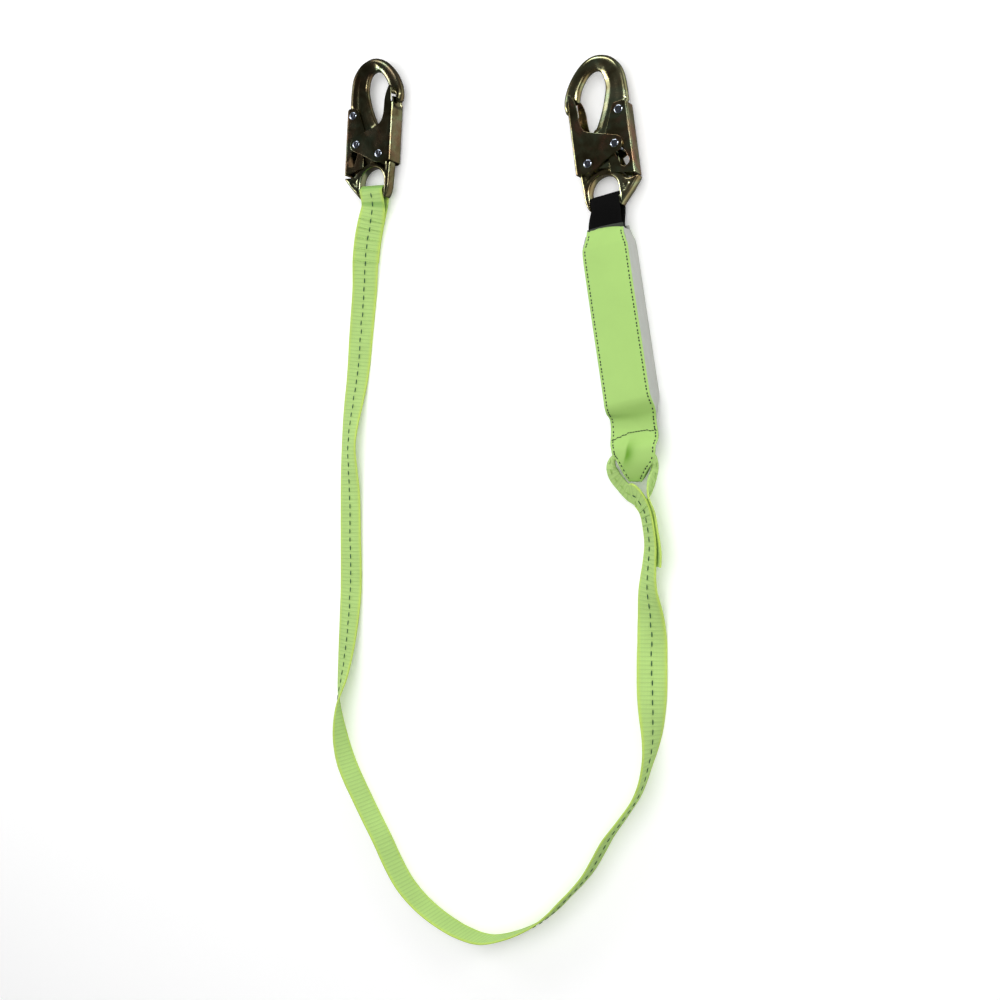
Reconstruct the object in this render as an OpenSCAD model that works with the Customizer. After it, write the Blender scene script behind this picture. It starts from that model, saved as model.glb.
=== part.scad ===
// Shock absorbing lanyard laid out on a flat surface: a webbing leg with a snap hook at
// one end and an energy absorber pack with a second snap hook at the other.
// X runs across, Y along the lanyard's length, Z up from the surface.

/* [Webbing leg] */
// Width of the leg's webbing
leg_w = 27; // [25:0.5:28]
// Thickness of the leg's webbing
leg_t = 2.2; // [1.8:0.1:2.4]

/* [Snap hooks] */
// Thickness of the forged hook body
body_t = 12.5; // [11:0.5:12.5]
// Diameter of the eye bar that the webbing bears on
eye_bar_d = 9; // [8:0.5:9.5]
// Diameter of the rivets' shanks
rivet_d = 6; // [5:0.5:6]
// Sheet thickness of the locking lever
lever_t = 1.8; // [1.5:0.1:1.8]
// Sheet thickness of the gate
gate_t = 1.7; // [1.4:0.1:1.7]

/* [Energy absorber] */
// Width of the absorber's cover
pack_w = 44; // [42:1:46]
// Thickness of the absorber at its full part
pack_t = 25; // [23:1:26]
// Width of the tear webbing folded inside
tear_w = 35; // [30:1:38]
// Number of folds of the tear webbing
tear_folds = 8; // [4:2:8]

/* [Hidden] */
$fn = 48;
up = [0, 0, 1];

// Heights in the hook's own frame, measured from its middle plane
body_half = body_t / 2;
lever_in = body_half + 0.35;
lever_out = lever_in + lever_t;
gate_in = lever_out + 0.3;
gate_out = gate_in + gate_t;
head_t = 1.2;
head_gap = 0.02;
hook_z = gate_out + head_gap + head_t;
bore_r = rivet_d / 2 + 0.05;

// Places in the hook's own frame: X towards the lever, Y towards the crown, origin on the
// eye bar's axis
lever_pivot = [25, 76];
lock_pin_at = [18, 46.5];
gate_pivot = [-10, 35.6];
eye_half = 14.3;
eye_arch_y = 9.3;
web_x = -23.5;
lever_x = 33;
spring_y = 62;

// Eye bar centres and headings of the two hooks on the surface
bar_a = [-127.7, 295.3, hook_z];
bar_b = [128.2, 254.3, hook_z];
yaw_a = -3.5;
yaw_b = 8;

// ---------------------------------------------------------------- curves and bands
function unit(v) = v / norm(v);
function at(v, i) = is_num(v) ? v : v[i];
function spline(a, b, c, d, t) = 0.5 * (2 * b + (c - a) * t
    + (2 * a - 5 * b + 4 * c - d) * t * t + (3 * b - a - 3 * c + d) * t * t * t);
// Smooth curve through a list of points, with n steps between two of them
function smooth(p, n) = let (m = len(p) - 1) concat(
    [for (i = [0 : m - 1], k = [0 : n - 1])
        spline(p[max(i - 1, 0)], p[i], p[i + 1], p[min(i + 2, m)], k / n)], [p[m]]);
function tangent(p, i) = unit(p[min(i + 1, len(p) - 1)] - p[max(i - 1, 0)]);
function flat3(p) = [p[0], p[1], 0];
function arc(c, r, a0, a1, n) =
    [for (i = [0 : n]) c + r * [cos(a0 + (a1 - a0) * i / n), sin(a0 + (a1 - a0) * i / n)]];

// One cross-section of a band: four corners round point i
function section(p, w, i, wd, th) =
    let (t = tangent(p, i), a = unit(w[i] - (w[i] * t) * t), n = cross(a, t),
         x = a * at(wd, i) / 2, y = n * at(th, i) / 2)
    [p[i] + x + y, p[i] - x + y, p[i] - x - y, p[i] + x - y];

// A band of webbing or cloth along points p, lying along directions w
module band(p, w, wd, th) {
    rings = len(p);
    corners = [for (i = [0 : rings - 1], c = section(p, w, i, wd, th)) c];
    sides = [for (i = [0 : rings - 2], j = [0 : 3])
        let (a = 4 * i + j, b = 4 * i + (j + 1) % 4)
        each [[a, b, b + 4], [a, b + 4, a + 4]]];
    last = 4 * (rings - 1);
    polyhedron(corners, concat(sides, [[3, 2, 1], [3, 1, 0]],
        [[last, last + 1, last + 2], [last, last + 2, last + 3]]));
}

// ---------------------------------------------------------------- snap hook
// Puts a hook's parts on its eye bar; hook A lies with its other face up
module place_hook(side) {
    translate(side == "a" ? bar_a : bar_b) rotate([0, 0, side == "a" ? yaw_a : yaw_b])
        rotate([0, side == "a" ? 180 : 0, 0]) children();
}

crown_outer = [[32.6, 92], [32, 107], [29.3, 117.5], [22, 127], [13, 131.6], [4.5, 132.7],
    [-5, 130], [-14, 123.5], [-22, 114], [-27.5, 103], [-29, 94]];
crown_inner = [[-15, 96.5], [-12.5, 105], [-8.5, 111.5], [-2.5, 117.5], [5, 119.5],
    [11, 115.2], [13.4, 104], [11.6, 94.5], [7, 81.5], [0.5, 68.5], [-2, 66.5]];

// Outline of the forged body without its eye
module body_outline() {
    pin_track = arc(gate_pivot, 26.6, 34, -14, 8);
    gate_seat = arc(gate_pivot, 11.2, 100, 190, 8);
    polygon(concat(
        [[30.6, 74], [30.8, 83.8], [32.5, 85]],
        smooth(crown_outer, 3),
        [[-27.4, 88.5], [-25.2, 87], [-22.4, 87], [-22.4, 94.8]],
        smooth(crown_inner, 3),
        [[-4.5, 64], [-7.5, 57.5]],
        gate_seat,
        [[-21.3, 31], [-19.9, 4], [-18.2, -2.6], [-14.6, -6]],
        [[13, -7], [16.5, -4.6], [25.5, 4], [34, 13.4], [34, 15.3], [23.2, 15.3],
         [21, 19.5], [16.6, 24.5]],
        [for (i = [len(pin_track) - 1 : -1 : 0]) pin_track[i]],
        [[27.3, 52.6]]));
}

module hook_body(side) color([0.42, 0.4, 0.26]) place_hook(side) {
    difference() {
        translate([0, 0, -body_half]) linear_extrude(body_t) difference() {
            body_outline();
            translate([0, eye_arch_y]) circle(eye_half);
            translate([-eye_half, -12]) square([2 * eye_half, 12 + eye_arch_y]);
        }
        for (c = [lever_pivot, gate_pivot])
            translate([c[0], c[1], -body_t]) cylinder(h = 2 * body_t, r = bore_r);
        translate([17, spring_y, 0]) rotate([0, 90, 0]) cylinder(h = 20, r = 3.5);
    }
    translate([-16.5, 0, 0]) rotate([0, 90, 0]) cylinder(h = 33, r = eye_bar_d / 2);
}

gate_outline = concat(
    [[web_x, 28.6], [web_x, 99], [-21.5, 102.3], [-18.6, 101.5], [-15.8, 96], [-14, 88],
     [-13.4, 76], [-11.8, 69.5], [-8.5, 65], [-3, 62.3], [12, 56.8]],
    arc(lock_pin_at, 7.4, 70, -70, 12),
    [[8, 34.5], [-2, 29], [-8, 27.2], [-21, 27.2]]);

module gate(side) color([0.33, 0.28, 0.18]) place_hook(side) difference() {
    union() {
        for (z = [gate_in, -gate_out])
            translate([0, 0, z]) linear_extrude(gate_t) polygon(gate_outline);
        translate([web_x, 28.6, -gate_out]) cube([gate_t, 56.9, 2 * gate_out]);
        translate([web_x + 1.5, 78, -5.5]) cube([2, 14.4, 11]);
    }
    for (c = [gate_pivot, lock_pin_at])
        translate([c[0], c[1], -20]) cylinder(h = 40, r = bore_r);
}

// The slot leaves room for the lock pin over the lever's travel
lever_outline = [[9.6, 22.8], [9.6, 58.6], [18.5, 79.6], [20.5, 83], [lever_x, 83],
    [lever_x, 17.2]];
slot_end = [25.2, 31.8];
module lock_slot() {
    run = slot_end - lock_pin_at;
    translate(lock_pin_at) circle(3.8);
    translate(slot_end) circle(3.8);
    translate(lock_pin_at) rotate(atan2(run[1], run[0])) translate([0, -3.8])
        square([norm(run), 7.6]);
    translate([24.4, 29.6]) circle(4.9);
}

module lock_lever(side) color([0.4, 0.34, 0.24]) place_hook(side) difference() {
    union() {
        for (z = [lever_in, -lever_out])
            translate([0, 0, z]) linear_extrude(lever_t) difference() {
                polygon(lever_outline);
                lock_slot();
            }
        translate([lever_x - lever_t, 17.2, -lever_out])
            cube([lever_t, 65.8, 2 * lever_out]);
    }
    translate([lever_pivot[0], lever_pivot[1], -20]) cylinder(h = 40, r = bore_r);
}

// A round-headed rivet through the hook, its heads over faces at height h
module rivet(side, c, h, head_r) color([0.62, 0.65, 0.72]) place_hook(side)
    translate([c[0], c[1], 0]) rotate_extrude() polygon([[0, -h - head_t],
        [head_r - 1, -h - head_t], [head_r, -h - 0.4], [head_r, -h], [rivet_d / 2, -h],
        [rivet_d / 2, h], [head_r, h], [head_r, h + 0.4], [head_r - 1, h + head_t],
        [0, h + head_t]]);
module gate_rivet(side) rivet(side, gate_pivot, gate_out + head_gap, 4.4);
module lever_rivet(side) rivet(side, lever_pivot, lever_out + head_gap, 4.4);
module lock_pin(side) rivet(side, lock_pin_at, gate_out, 4.2);

// Torsion spring of the gate: a coil on each side of the body, each with two legs
spring_wire = 1.8;
module gate_spring(side) color([0.55, 0.55, 0.5]) place_hook(side)
    for (z = [-1, 1] * (body_half + gate_in) / 2)
        translate([gate_pivot[0], gate_pivot[1], z]) {
            rotate_extrude() translate([5.2, 0]) circle(spring_wire / 2, $fn = 16);
            translate([-5.2, 0, 0]) rotate([0, 0, 12]) rotate([-90, 0, 0])
                cylinder(h = 24, d = spring_wire - 0.02, $fn = 16);
            translate([5.2, 0, 0]) rotate([0, 0, -14]) rotate([-90, 0, 0])
                cylinder(h = 12, d = spring_wire - 0.02, $fn = 16);
        }

// Compression spring that pushes the locking lever outwards
coil_turns = 5;
coil_steps = 14;
module lock_spring(side) color([0.55, 0.55, 0.5]) place_hook(side) {
    rise = (lever_x - lever_t - 17.2 - 1.1) / coil_turns;
    path = [for (i = [0 : coil_turns * coil_steps]) let (a = 360 * i / coil_steps)
        [17.7 + rise * i / coil_steps, spring_y + 2.5 * cos(a), 2.5 * sin(a)]];
    across = [for (i = [0 : coil_turns * coil_steps]) let (a = 360 * i / coil_steps)
        [0, cos(a), sin(a)]];
    band(path, across, 0.9, 0.9);
}

// ---------------------------------------------------------------- webbing leg
// x, y, roll of the webbing about its run (90 stands on its edge), lift above the
// surface, width, thickness
leg_route = [
    [-127.7, 295.3, 0, 10.5], [-129, 282, -5, 7.2], [-133, 268, -20, 3.6],
    [-137.5, 250, -25, 2.2], [-141.5, 228, -20, 1.7], [-144.5, 203, -13, 0.5],
    [-149, 168, -9, 0.1], [-154, 126, -3, 0.1], [-159.5, 86, 10, 0.1],
    [-163.5, 44, 24, 0.1], [-164, -2, 9, 0.1], [-164, -52, 5, 0.1],
    [-164, -102, 3, 0.1], [-166.5, -152, 15, 0.1], [-169.5, -190, 34, 0.1],
    [-172.5, -216, 56, 0.1], [-169.5, -248, 82, 0.1], [-160.5, -278, 96, 0.1],
    [-142.5, -309, 97, 0.1], [-116.5, -349, 97, 0.1], [-89.5, -389, 97, 0.1],
    [-49.5, -416, 95, 0.1], [2.5, -427, 91, 0.1], [55.5, -404, 90, 0.1],
    [86.5, -375, 90, 0.1], [110.5, -347, 90, 0.1], [129.5, -314, 90, 0.1],
    [155.5, -277, 95, 0.1], [166.5, -248, 93, 0.1], [171.5, -217, 71, 0.1],
    [169, -170, 26, 0.1], [167.5, -136, 8, 0.1], [165.7, -94, -29, 0.1],
    [167.4, -73, -41, 0.1], [169, -52, -46, 0.1], [166.9, -34, -47, 0.1],
    [163.3, -20, -47, 0.1], [155.3, -9, -44, 0.1]];
loop_route = [
    [146.2, -5.5, -35, 0.2, 18, 2.6], [138.4, 2.4, -33, 0.3, 16.5, 3],
    [133.4, 9, -34, 1, 17, 3.4], [131.2, 17, -38, 2.2, 16.5, 4], [134.5, 25.5, -62, 3.2, 15, 4.4],
    [143.5, 30.8, -86, 3.8, 13.4, 4.4], [154.5, 31, -90, 3.8, 13.4, 4.4],
    [164, 30.8, -90, 3.8, 13.4, 4.4], [169.8, 26.5, -90, 2.5, 12.8, 4.4],
    [171.3, 18.5, -90, 0.7, 11.6, 4], [170.7, 11.5, -91, 0.3, 13.5, 3.6],
    [169.5, 4, -95, 0.2, 19, 2.8],
    [168.2, -7, -108, 0.1, 25, 2.3], [168.4, -18, -126, 0.1, 27, 2.2],
    [168.9, -27, -133, 0.1, 27, 2.2], [170.6, -38, -133, 0.1, 27, 2.2],
    [173, -51, -133, 0.1, 27, 2.2], [174, -61, -133, 0.1, 27, 2.2],
    [173.6, -70, -133, 0.1, 27, 2.2]];
route = smooth(concat([for (r = leg_route) concat(r, [leg_w, leg_t])], loop_route), 2);
function route_point(r) = [r[0], r[1],
    r[4] / 2 * abs(sin(r[2])) + r[5] / 2 * abs(cos(r[2])) + r[3]];
function route_side(i) =
    let (t = unit(flat3(route[min(i + 1, len(route) - 1)]) - flat3(route[max(i - 1, 0)])))
    cos(route[i][2]) * cross(t, up) - sin(route[i][2]) * up;

// The webbing turns round the eye bar and is sewn back along itself
wrap_ease = 0.15;
wrap_r = eye_bar_d / 2 + 0.35 + leg_t / 2;
layer_gap = leg_t / 2 + wrap_ease;
layers = [wrap_r + wrap_ease, 4.9, 2.9, 1.8, layer_gap, layer_gap, layer_gap, layer_gap, layer_gap];
single = [0.9, 0.45];
function spread(i) = i < len(layers) ? layers[i]
    : i < len(layers) + len(single) ? single[i - len(layers)] : 0;
function layer_point(i, s) = let (p = route_point(route[i]),
    t = unit(flat3(route[i + 1]) - flat3(route[max(i - 1, 0)])), n = cross(route_side(i), t))
    p + s * spread(i) * n;

module leg_webbing() color([0.69, 0.85, 0.42]) {
    back = [for (i = [len(layers) - 1 : -1 : 0]) i];
    axis = route_side(0);
    beyond = cross(axis, up);
    turn = [for (a = [-60 : 30 : 60])
        route_point(route[0]) + wrap_r * (cos(a) * beyond + sin(a) * up)];
    run = [for (i = [0 : len(route) - 2]) i];
    points = concat([for (i = back) layer_point(i, -1)], turn,
        [for (i = run) layer_point(i, 1)], [route_point(route[len(route) - 1])]);
    sides = concat([for (i = back) route_side(i)], [for (a = turn) axis],
        [for (i = run) route_side(i)], [route_side(len(route) - 1)]);
    lead = len(back) + len(turn);
    widths = concat([for (i = [1 : lead]) leg_w], [for (r = route) r[4]]);
    depths = concat([for (i = [1 : lead]) leg_t], [for (r = route) r[5]]);
    band(points, sides, widths, depths);
}

// Rows of thread across the doubled webbing, a hair above its face
module thread_rows(indexes, height, length) color([0.5, 0.68, 0.3])
    for (i = indexes) {
        side = route_side(i);
        t = unit(flat3(route[i + 1]) - flat3(route[i - 1]));
        n = cross(side, t);
        centre = route_point(route[i]) + height * n;
        band([centre - side * length / 2, centre + side * length / 2], [t, t], 1.2, 0.6);
    }
module leg_hook_end_stitching()
    thread_rows([4 : 8], layer_gap + leg_t / 2 + 0.45, leg_w - 5);
module leg_pack_end_stitching()
    thread_rows([70 : 72], leg_t / 2 + 0.45, leg_w - 6);

// ---------------------------------------------------------------- energy absorber
// Centre line of the pack on the surface: top, step, cross seam, tip
pack_top = [128.5, 226];
pack_step = [154.5, 65];
pack_run = unit(pack_step - pack_top);
pack_side = [-pack_run[1], pack_run[0]];
pack_len = norm(pack_step - pack_top);
tail_x = 154.5;
function on_pack(s, z) = [pack_top[0] + pack_run[0] * s, pack_top[1] + pack_run[1] * s, z];
function on_tail(y, z) = [tail_x, y, z];
cover_t = 0.9;
across_pack = -[pack_side[0], pack_side[1], 0];
across_tail = [-1, 0, 0];
top_z = pack_t - cover_t / 2;
back_w = pack_w - 4;

// Each row is a point on the cover, the direction across it, and its width there
front_rows = [
    [on_pack(-2, 19.5), across_pack, pack_w - 7], [on_pack(6, 22.5), across_pack, pack_w - 4],
    [on_pack(14, top_z), across_pack, pack_w], [on_pack(50, top_z), across_pack, pack_w],
    [on_pack(100, top_z), across_pack, pack_w], [on_pack(145, top_z), across_pack, pack_w],
    [on_pack(155, top_z - 0.8), across_pack, pack_w + 1],
    [on_pack(162, 20), across_pack, pack_w + 1.5], [on_tail(59, 15.4), across_tail, pack_w],
    [on_tail(50, 14.4), across_tail, pack_w - 1], [[155, 41, 16.5], across_tail, 43],
    [[155.6, 34, 20.3], across_tail, 39], [[156, 26, 20.4], across_tail, 36.5],
    [[156.4, 18, 18.6], across_tail, 29], [[155.4, 10, 15], across_tail, 19.5],
    [[155, 4.5, 11], across_tail, 12.5]];
back_rows = [
    [on_tail(4.5, 9.8), across_tail, 12], [on_tail(10, 5.5), across_tail, 17],
    [on_tail(18, 1.8), across_tail, 22], [on_tail(26, 0.6), across_tail, 25],
    [on_tail(34, 0.6), across_tail, 26], [on_tail(41, 0.6), across_tail, 27],
    [on_tail(60, 0.6), across_tail, 30], [on_pack(158, 0.6), across_pack, 36],
    [on_pack(145, 0.6), across_pack, back_w], [on_pack(100, 0.6), across_pack, back_w],
    [on_pack(14, 0.6), across_pack, back_w], [on_pack(6, 1.8), across_pack, back_w - 3],
    [on_pack(-2, 4), across_pack, back_w - 5]];

module cloth(rows, th)
    band([for (r = rows) r[0]], [for (r = rows) r[1]], [for (r = rows) r[2]], th);

module cover_front() color([0.7, 0.87, 0.47]) cloth(front_rows, cover_t);
module cover_back() color([0.7, 0.87, 0.47]) cloth(back_rows, cover_t);

// Side panel, standing between the front and the back of the cover
module side_panel(s) color([0.68, 0.7, 0.68])
    band([for (d = [6, 14, 50, 100, 145, 153]) on_pack(d, pack_t / 2)
            + s * [pack_side[0], pack_side[1], 0] * ((d < 10 ? pack_w - 5 : pack_w) / 2 - 1)],
        [for (d = [1 : 6]) up], [17.5, 21.6, 22.4, 22.4, 22.4, 20], 0.9);
module cover_side_left() side_panel(-1);
module cover_side_right() side_panel(1);

// Bound edge round the cover's mouth
module cover_top_rim() color([0.82, 0.84, 0.82])
    for (z = [18.6, 4.9])
        band([on_pack(-3.2, z), on_pack(1, z)], [across_pack, across_pack], pack_w - 8, 0.6);

// Webbing folded to and fro, which tears apart under a fall
module tear_webbing() color([0.85, 0.86, 0.84]) {
    pitch = 14.6 / tear_folds;
    z0 = 5.2;
    path = [for (k = [0 : tear_folds - 1], e = [0, 1])
        let (far = (k + e) % 2 == 1, z = z0 + k * pitch)
        each (e == 0 ? [on_pack(far ? 146 : 22, z)]
            : [on_pack(far ? 146 : 22, z), on_pack(far ? 147.6 : 20.4, z + pitch / 2)])];
    band(path, [for (p = path) across_pack], tear_w, 1.1);
}
module backup_webbing() color([0.2, 0.2, 0.2])
    band([on_pack(16, 3), on_pack(90, 3), on_pack(150, 3)],
        [for (i = [1 : 3]) across_pack], tear_w - 5, 1.6);

// Loop at the pack's end, which holds the leg's own loop
end_loop_rows = [
    [on_tail(55, 11.8), 26], [on_tail(46, 12), 25], [on_tail(40, 14.1), 24],
    [on_tail(34, 18.3), 23], [on_tail(26, 18.6), 21], [on_tail(18, 16.7), 17],
    [on_tail(12, 13.6), 13], [on_tail(9.5, 10.4), 11], [on_tail(12, 7), 13],
    [on_tail(18, 3.8), 17], [on_tail(26, 2.2), 21], [on_tail(34, 2.2), 23],
    [on_tail(46, 2.6), 25], [on_tail(55, 2.8), 26]];
module pack_end_loop() color([0.2, 0.2, 0.2])
    band([for (r = end_loop_rows) r[0]], [for (r = end_loop_rows) across_tail],
        [for (r = end_loop_rows) r[1]], 1.6);

// Black loop that holds hook B: both legs run into the cover's mouth
loop_w = 27.5;
loop_t = 2;
loop_r = eye_bar_d / 2 + 0.35 + loop_t / 2;
hook_b_axis = [cos(yaw_b), sin(yaw_b), 0];
hook_b_run = [sin(yaw_b), -cos(yaw_b), 0];
module hook_loop_webbing() color([0.08, 0.08, 0.08]) {
    turn = [for (a = [-90 : 30 : 90]) bar_b + loop_r * (cos(a) * -hook_b_run + sin(a) * up)];
    under = [on_pack(13, 9), on_pack(4, 8.6), on_pack(-6, 7.6), bar_b + 8 * hook_b_run - 5.9 * up];
    over = [bar_b + 8 * hook_b_run + 5.9 * up, on_pack(-6, 14.8), on_pack(4, 14),
        on_pack(13, 13.4)];
    path = concat(under, turn, over);
    wide = [35, 35, 32.5, loop_w];
    widths = concat(wide, [for (a = turn) loop_w], [for (i = [3 : -1 : 0]) wide[i]]);
    sides = concat([for (i = [1 : 3]) across_pack], [-hook_b_axis],
        [for (a = turn) -hook_b_axis], [-hook_b_axis], [for (i = [1 : 3]) across_pack]);
    band(path, sides, widths, loop_t);
}

// Rows of thread inside the cover's mouth and over the end loop's legs
module rows_across(places, direction, length) color([0.1, 0.1, 0.1])
    for (p = places) band([p - direction * length / 2, p + direction * length / 2],
        [for (i = [1, 2]) cross(direction, up)], 1.2, 0.5);
module hook_loop_stitching()
    rows_across([for (s = [7, 10]) on_pack(s, 15.6)], across_pack, 28);
module end_loop_stitching()
    rows_across([for (y = [48, 52]) on_tail(y, 13.25)], across_tail, 22);

hook_body("a");  // hook_body_a
gate("a");  // gate_a
lock_lever("a");  // lock_lever_a
gate_rivet("a");  // gate_rivet_a
lever_rivet("a");  // lever_rivet_a
lock_pin("a");  // lock_pin_a
gate_spring("a");  // gate_spring_a
lock_spring("a");  // lock_spring_a
hook_body("b");  // hook_body_b
gate("b");  // gate_b
lock_lever("b");  // lock_lever_b
gate_rivet("b");  // gate_rivet_b
lever_rivet("b");  // lever_rivet_b
lock_pin("b");  // lock_pin_b
gate_spring("b");  // gate_spring_b
lock_spring("b");  // lock_spring_b
leg_webbing();
leg_hook_end_stitching();
leg_pack_end_stitching();
cover_front();
cover_back();
cover_side_left();
cover_side_right();
cover_top_rim();
tear_webbing();
backup_webbing();
pack_end_loop();
hook_loop_webbing();
hook_loop_stitching();
end_loop_stitching();
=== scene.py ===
"""The looks of a shock absorbing lanyard: a webbing leg, two snap hooks and an energy absorber.

Lengths in the shape code are millimetres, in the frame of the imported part: X across, Y along
the lanyard, Z up from the surface that it lies on. Meshes are written in metres.
"""

import math

import bpy
import numpy as np
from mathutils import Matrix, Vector
from mathutils.geometry import delaunay_2d_cdt


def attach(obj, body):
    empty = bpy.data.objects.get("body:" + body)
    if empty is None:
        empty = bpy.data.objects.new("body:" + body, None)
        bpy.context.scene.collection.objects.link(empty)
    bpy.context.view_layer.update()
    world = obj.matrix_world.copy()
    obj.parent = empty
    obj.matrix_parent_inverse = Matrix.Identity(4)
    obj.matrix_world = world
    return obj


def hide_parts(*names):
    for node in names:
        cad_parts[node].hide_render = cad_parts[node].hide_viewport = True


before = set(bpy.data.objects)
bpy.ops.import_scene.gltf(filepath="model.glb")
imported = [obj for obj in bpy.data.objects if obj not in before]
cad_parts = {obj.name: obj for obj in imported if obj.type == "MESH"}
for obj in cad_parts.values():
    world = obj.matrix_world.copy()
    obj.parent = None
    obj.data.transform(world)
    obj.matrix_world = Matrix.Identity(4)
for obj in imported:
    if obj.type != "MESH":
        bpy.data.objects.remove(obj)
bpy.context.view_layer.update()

MM = 0.001
scene = bpy.context.scene
scene.view_settings.view_transform = "Standard"


# ------------------------------------------------------------------ camera, floor and light
VIEW_TILT = math.radians(30)
VIEW_DISTANCE = 1.152
VIEW_CENTRE = Vector((0.0105, -0.012, 0))
FOCAL_LENGTH, SENSOR_WIDTH = 43.63, 36
FLOOR_HALF, FLOOR_GLOW = 6.0, 0.16
# Colour of the room low on the right, which the hooks mirror
ROOM_GLOW, ROOM_STRENGTH = (1.05, 1.0, 0.86), 0.75


def add_camera():
    lens = bpy.data.cameras.new("camera")
    lens.lens, lens.sensor_width = FOCAL_LENGTH, SENSOR_WIDTH
    lens.clip_start, lens.clip_end = 0.01, 20
    camera = bpy.data.objects.new("camera", lens)
    away = Vector((math.sin(VIEW_TILT), 0, math.cos(VIEW_TILT)))
    camera.location = VIEW_CENTRE + VIEW_DISTANCE * away
    camera.rotation_euler = (0, VIEW_TILT, 0)
    scene.collection.objects.link(camera)
    scene.camera = camera


def add_softbox(name, place, aim, size, power, in_metal=True, on_cloth=True):
    """A rectangular soft light, seen in the metal's shine, or lighting cloth and floor, or both."""
    light = bpy.data.lights.new(name, "AREA")
    light.shape, light.size, light.size_y = "RECTANGLE", size[0], size[1]
    light.energy = power
    holder = bpy.data.objects.new(name, light)
    holder.location = place
    holder.rotation_euler = (Vector(aim) - Vector(place)).to_track_quat("-Z", "Y").to_euler()
    holder.visible_glossy = in_metal
    holder.visible_diffuse = on_cloth
    scene.collection.objects.link(holder)


def add_studio():
    """A pale floor, a soft top light, softboxes and edge lights for the metal, and the room."""
    mesh = bpy.data.meshes.new("floor")
    mesh.from_pydata([(-FLOOR_HALF, -FLOOR_HALF, 0), (FLOOR_HALF, -FLOOR_HALF, 0),
                      (FLOOR_HALF, FLOOR_HALF, 0), (-FLOOR_HALF, FLOOR_HALF, 0)],
                     [], [(0, 1, 2, 3)])
    floor = bpy.data.objects.new("floor", mesh)
    scene.collection.objects.link(floor)
    paint, tree, shader = material("pale floor", roughness=0.9, specular=0.1)
    shader.inputs["Base Color"].default_value = (0.93, 0.93, 0.93, 1)
    shader.inputs["Emission Color"].default_value = (1, 1, 1, 1)
    shader.inputs["Emission Strength"].default_value = FLOOR_GLOW
    mesh.materials.append(paint)
    floor.visible_glossy = False
    add_softbox("top light", (0.1, 0.05, 1.9), (0, -0.1, 0), (2.8, 2.8), 46, in_metal=False)
    add_softbox("left softbox", (-1.5, 0.45, 0.45), (0, 0.2, 0), (0.4, 0.8), 8)
    add_softbox("right softbox", (1.5, 0.7, 0.5), (0, 0.2, 0), (0.3, 1.2), 11)
    add_softbox("left edge light", (-1.6, 0.25, 0.55), (0, 0.25, 0), (2.0, 0.6), 6,
                on_cloth=False)
    add_softbox("right edge light", (1.6, 0.3, 0.75), (0, 0.3, 0), (1.9, 0.4), 5,
                on_cloth=False)
    add_softbox("far softbox", (-0.2, 1.7, 0.8), (0, 0.2, 0), (1.4, 0.35), 7)
    world = bpy.data.worlds.new("studio room")
    world.use_nodes = True
    scene.world = world
    tree = world.node_tree
    place = node(tree, "ShaderNodeTexCoord").outputs["Generated"]
    way = node(tree, "ShaderNodeSeparateXYZ", {0: place}).outputs
    room = ramp(tree, way["Z"], [(0.0, (0.14, 0.14, 0.14)), (0.6, (0.07, 0.07, 0.07))])
    aside = node(tree, "ShaderNodeMapRange", {"Value": way["X"], "From Min": 0.2,
                 "From Max": 0.5}, interpolation_type="SMOOTHSTEP")
    below = node(tree, "ShaderNodeMapRange", {"Value": way["Z"], "From Min": -0.3,
                 "From Max": -0.6}, interpolation_type="SMOOTHSTEP")
    glow = maths(tree, "MULTIPLY", aside.outputs[0], below.outputs[0])
    tree.links.new(blended(tree, glow, room, ROOM_GLOW),
                   tree.nodes["Background"].inputs["Color"])
    tree.nodes["Background"].inputs["Strength"].default_value = ROOM_STRENGTH


# ------------------------------------------------------------------ shader helpers and groups
def node(tree, kind, values=None, **settings):
    """Adds a node, sets its fields, and fills its inputs with numbers or links."""
    made = tree.nodes.new(kind)
    for key, value in settings.items():
        setattr(made, key, value)
    for key, value in (values or {}).items():
        if isinstance(value, bpy.types.NodeSocket):
            tree.links.new(value, made.inputs[key])
        else:
            made.inputs[key].default_value = value
    return made


def maths(tree, operation, a, b=0.0):
    return node(tree, "ShaderNodeMath", {0: a, 1: b}, operation=operation).outputs[0]


def ramp(tree, factor, stops):
    made = node(tree, "ShaderNodeValToRGB", {"Fac": factor})
    elements = made.color_ramp.elements
    while len(elements) < len(stops):
        elements.new(0.5)
    for element, (position, colour) in zip(elements, stops):
        element.position = position
        element.color = (*colour, 1)
    return made.outputs["Color"]


def blended(tree, factor, a, b, kind="MIX"):
    made = node(tree, "ShaderNodeMix", {"Factor": factor}, data_type="RGBA", blend_type=kind)
    for socket, value in zip([s for s in made.inputs if s.type == "RGBA"], (a, b)):
        if isinstance(value, bpy.types.NodeSocket):
            tree.links.new(value, socket)
        else:
            socket.default_value = (*value, 1)
    return next(s for s in made.outputs if s.type == "RGBA")


def group(name, inputs, outputs, tree_kind="ShaderNodeTree"):
    """A node group with named sockets: its tree, its input node and its output node."""
    tree = bpy.data.node_groups.new(name, tree_kind)
    for label, kind, value in inputs:
        socket = tree.interface.new_socket(name=label, in_out="INPUT", socket_type=kind)
        if value is not None:
            socket.default_value = value
    for label, kind in outputs:
        tree.interface.new_socket(name=label, in_out="OUTPUT", socket_type=kind)
    return tree, tree.nodes.new("NodeGroupInput"), tree.nodes.new("NodeGroupOutput")


def humps(tree, value, factor=math.pi):
    """The absolute sine of a value times a factor: one hump for each half turn."""
    return maths(tree, "ABSOLUTE", maths(tree, "SINE", maths(tree, "MULTIPLY", value, factor)))


def object_place(tree):
    return node(tree, "ShaderNodeTexCoord").outputs["Object"]


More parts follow.
